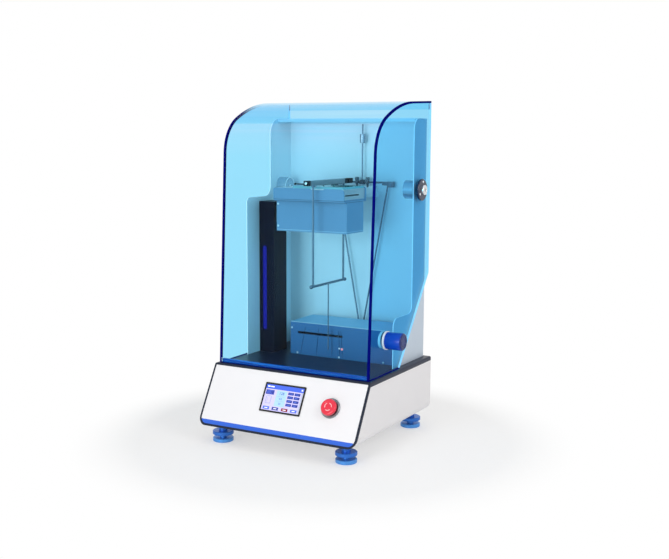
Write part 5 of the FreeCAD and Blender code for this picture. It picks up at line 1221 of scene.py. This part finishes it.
# %% Lines, disc and numbers on the display
GAUGE_LINE = 0.012


def numeral(words, size, left, top, colour):
    """Numbers set flat on the display, turned from text to mesh."""
    bpy.ops.object.select_all(action="DESELECT")
    bpy.ops.object.text_add(location=(0, 0, 0))
    piece = bpy.context.object
    piece.data.body = words
    piece.data.size = size
    piece.data.align_x = "CENTER"
    piece.data.align_y = "CENTER"
    piece.data.extrude = TILE_THICK / 2
    bpy.ops.object.convert(target="MESH")
    u = window_u[0] + left * (window_u[1] - window_u[0])
    v = window_v[1] - top * (window_v[1] - window_v[0])
    aim(piece, on_panel(u, v, window_w + 2.5 * TILE_THICK), panel_out)
    piece.data.materials.clear()
    piece.data.materials.append(display_finish[colour])
    return piece


for left, top, width, height in ((0.06, 0.46, GAUGE_LINE, 0.26), (0.19, 0.46, GAUGE_LINE, 0.26),
                                 (0.06, 0.72, 0.142, 0.016), (0.1, 0.5, GAUGE_LINE / 2, 0.2),
                                 (0.08, 0.44, 0.1, 0.014), (0.35, 0.42, 0.19, 0.008), (0.35, 0.6, 0.19, 0.008)):
    tiles.append(tile(left, top, width, height, "line", 3))
disc = start(bpy.ops.mesh.primitive_circle_add, vertices=32, radius=2.3 * MM, fill_type="NGON")
bpy.ops.mesh.inset(thickness=0.5 * MM, depth=0)
thicken(disc, TILE_THICK)
aim(disc, on_panel(window_u[1] - 5.0 * MM, window_v[1] - 5.0 * MM, window_w + TILE_THICK), panel_out)
disc.data.materials.append(display_finish["paper"])
numbers = [numeral("128", 9.0 * MM, 0.445, 0.31, "key"), numeral("6.0", 6.0 * MM, 0.445, 0.51, "key"),
           numeral("23", 6.0 * MM, 0.445, 0.7, "key")]
settle(join(tiles + [disc] + numbers), "screen_menu", "cabinet", merge=False, smooth=20)

# %% [markdown]
# ## The scale
# The pointer swings in front of a plate with an engraved line at each angle. The lines are filled with dark paint,
# and each has its number at its foot. The numbers are text made into thin meshes, set just proud of the plate.

# %% Angle numbers
SCALE_ANGLES = (-12, -6, 0, 3, 4)
NUMBER_SIZE = 4.6 * MM
NUMBER_LIFT = 5.2 * MM      # deck to the middle of a number
PAINT_THICK = 0.15 * MM
scale_low, scale_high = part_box("scale_face")
balls_low, balls_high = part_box("heavy_balls")
pivot = (balls_low + balls_high) / 2


def scale_point(angle, lift):
    """Where a line at this angle, seen from the pivot, is at a height above the deck."""
    z = scale_low.z + lift
    return Vector((pivot.x + (pivot.z - z) * math.tan(math.radians(angle)), scale_low.y, z))


marks = []
for angle in SCALE_ANGLES:
    bpy.ops.object.select_all(action="DESELECT")
    bpy.ops.object.text_add(location=(0, 0, 0))
    mark = bpy.context.object
    mark.data.body = str(abs(angle))
    mark.data.size = NUMBER_SIZE
    mark.data.align_x = "CENTER"
    mark.data.align_y = "CENTER"
    mark.data.extrude = PAINT_THICK / 2
    bpy.ops.object.convert(target="MESH")
    aim(mark, scale_point(angle, NUMBER_LIFT), OUTWARD["-Y"])
    marks.append(mark)
settle(join(marks), "scale_numbers", "cabinet", moulded("scale_ink_navy", "#0c1730", 0.5), merge=False)

# %% White dot beside the sensor
led_low, led_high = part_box("angle_sensor")
DOT_R = 2.2 * MM
dot = drum(DOT_R, 0.9 * MM, 24)
round_rim(dot, 0.9 * MM, 0.5 * MM, 2)
top_face(dot)
bpy.ops.mesh.inset(thickness=0.7 * MM, depth=-0.2 * MM)
led_middle = (led_low + led_high) / 2
aim(dot, Vector((led_middle.x - 7.5 * MM, scale_low.y, led_middle.z + 1.0 * MM)), OUTWARD["-Y"])
settle(dot, "scale_dot", "cabinet", bpy.data.materials["ring_white"])

# %% [markdown]
# ## Fittings of the two pendulums
# The heavy pendulum's front block has a socket screw in its face. The light pendulum's ball pins end in knurled
# nuts, turned to be gripped: a many-sided ring whose every second edge is drawn in gives the teeth.

# %% Knurled nuts
NUT_TEETH = 20
NUT_OVER = 0.7 * MM         # nut's reach beyond the plain head that it covers
NUT_HEIGHT_SHARE = 0.62


def knurled_nut(radius, height, bore):
    """A ring with teeth along its side, a raised ring on each end around its bore."""
    nut = drum(radius, height, NUT_TEETH * 2)
    turn = math.pi / NUT_TEETH
    pick(nut, "VERT", lambda place, way: round(math.atan2(place.y, place.x) / turn) % 2 == 0)
    bpy.ops.transform.resize(value=(0.9, 0.9, 1))
    top_face(nut)
    bpy.ops.mesh.inset(thickness=radius * 0.16, depth=0.3 * MM)
    pick(nut, "FACE", lambda middle, way: way.z < -0.99)
    bpy.ops.mesh.inset(thickness=radius * 0.16, depth=0.3 * MM)
    hole = drum(bore, height * 3, 24)
    bpy.ops.transform.translate(value=(0, 0, -height))
    cut_with(nut, hole)
    return nut


pin_boxes = loose_boxes("light_ball_pins")
THUMB_R = 4.5 * MM
THUMB_TALL = 9.0 * MM
nuts = []
model = knurled_nut(THUMB_R + NUT_OVER, THUMB_TALL * NUT_HEIGHT_SHARE, THUMB_R - 0.2 * MM)
for box in (pin_boxes[0], pin_boxes[-1]):
    centre = (box[0] + box[1]) / 2
    nut = copy_of(model)
    aim(nut, Vector((centre.x, centre.y, box[1].z - THUMB_TALL * (1 + NUT_HEIGHT_SHARE) / 2)), OUTWARD["+Z"])
    nuts.append(nut)
bpy.data.objects.remove(model)
settle(join(nuts), "knurled_nuts", "light_pendulum", bpy.data.materials["pin_turned_steel"],
       merge=False)

# %% Socket screw in the heavy pendulum's front block
bar_low, bar_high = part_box("heavy_bar")
block_low, block_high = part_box("heavy_end_blocks")
BLOCK_SIDE = 12.0 * MM
block_screw = drum(3.2 * MM, 0.8 * MM, 32)
round_rim(block_screw, 0.8 * MM, 0.35 * MM, 2)
hexagon = drum(1.7 * MM, 2.0 * MM, 6)
bpy.ops.transform.translate(value=(0, 0, 0.2 * MM))
cut_with(block_screw, hexagon)
aim(block_screw, Vector(((bar_low.x + bar_high.x) / 2, block_low.y, bar_high.z - BLOCK_SIDE / 2)), OUTWARD["-Y"])
settle(block_screw, "block_socket_screw", "heavy_pendulum", screw_metal)
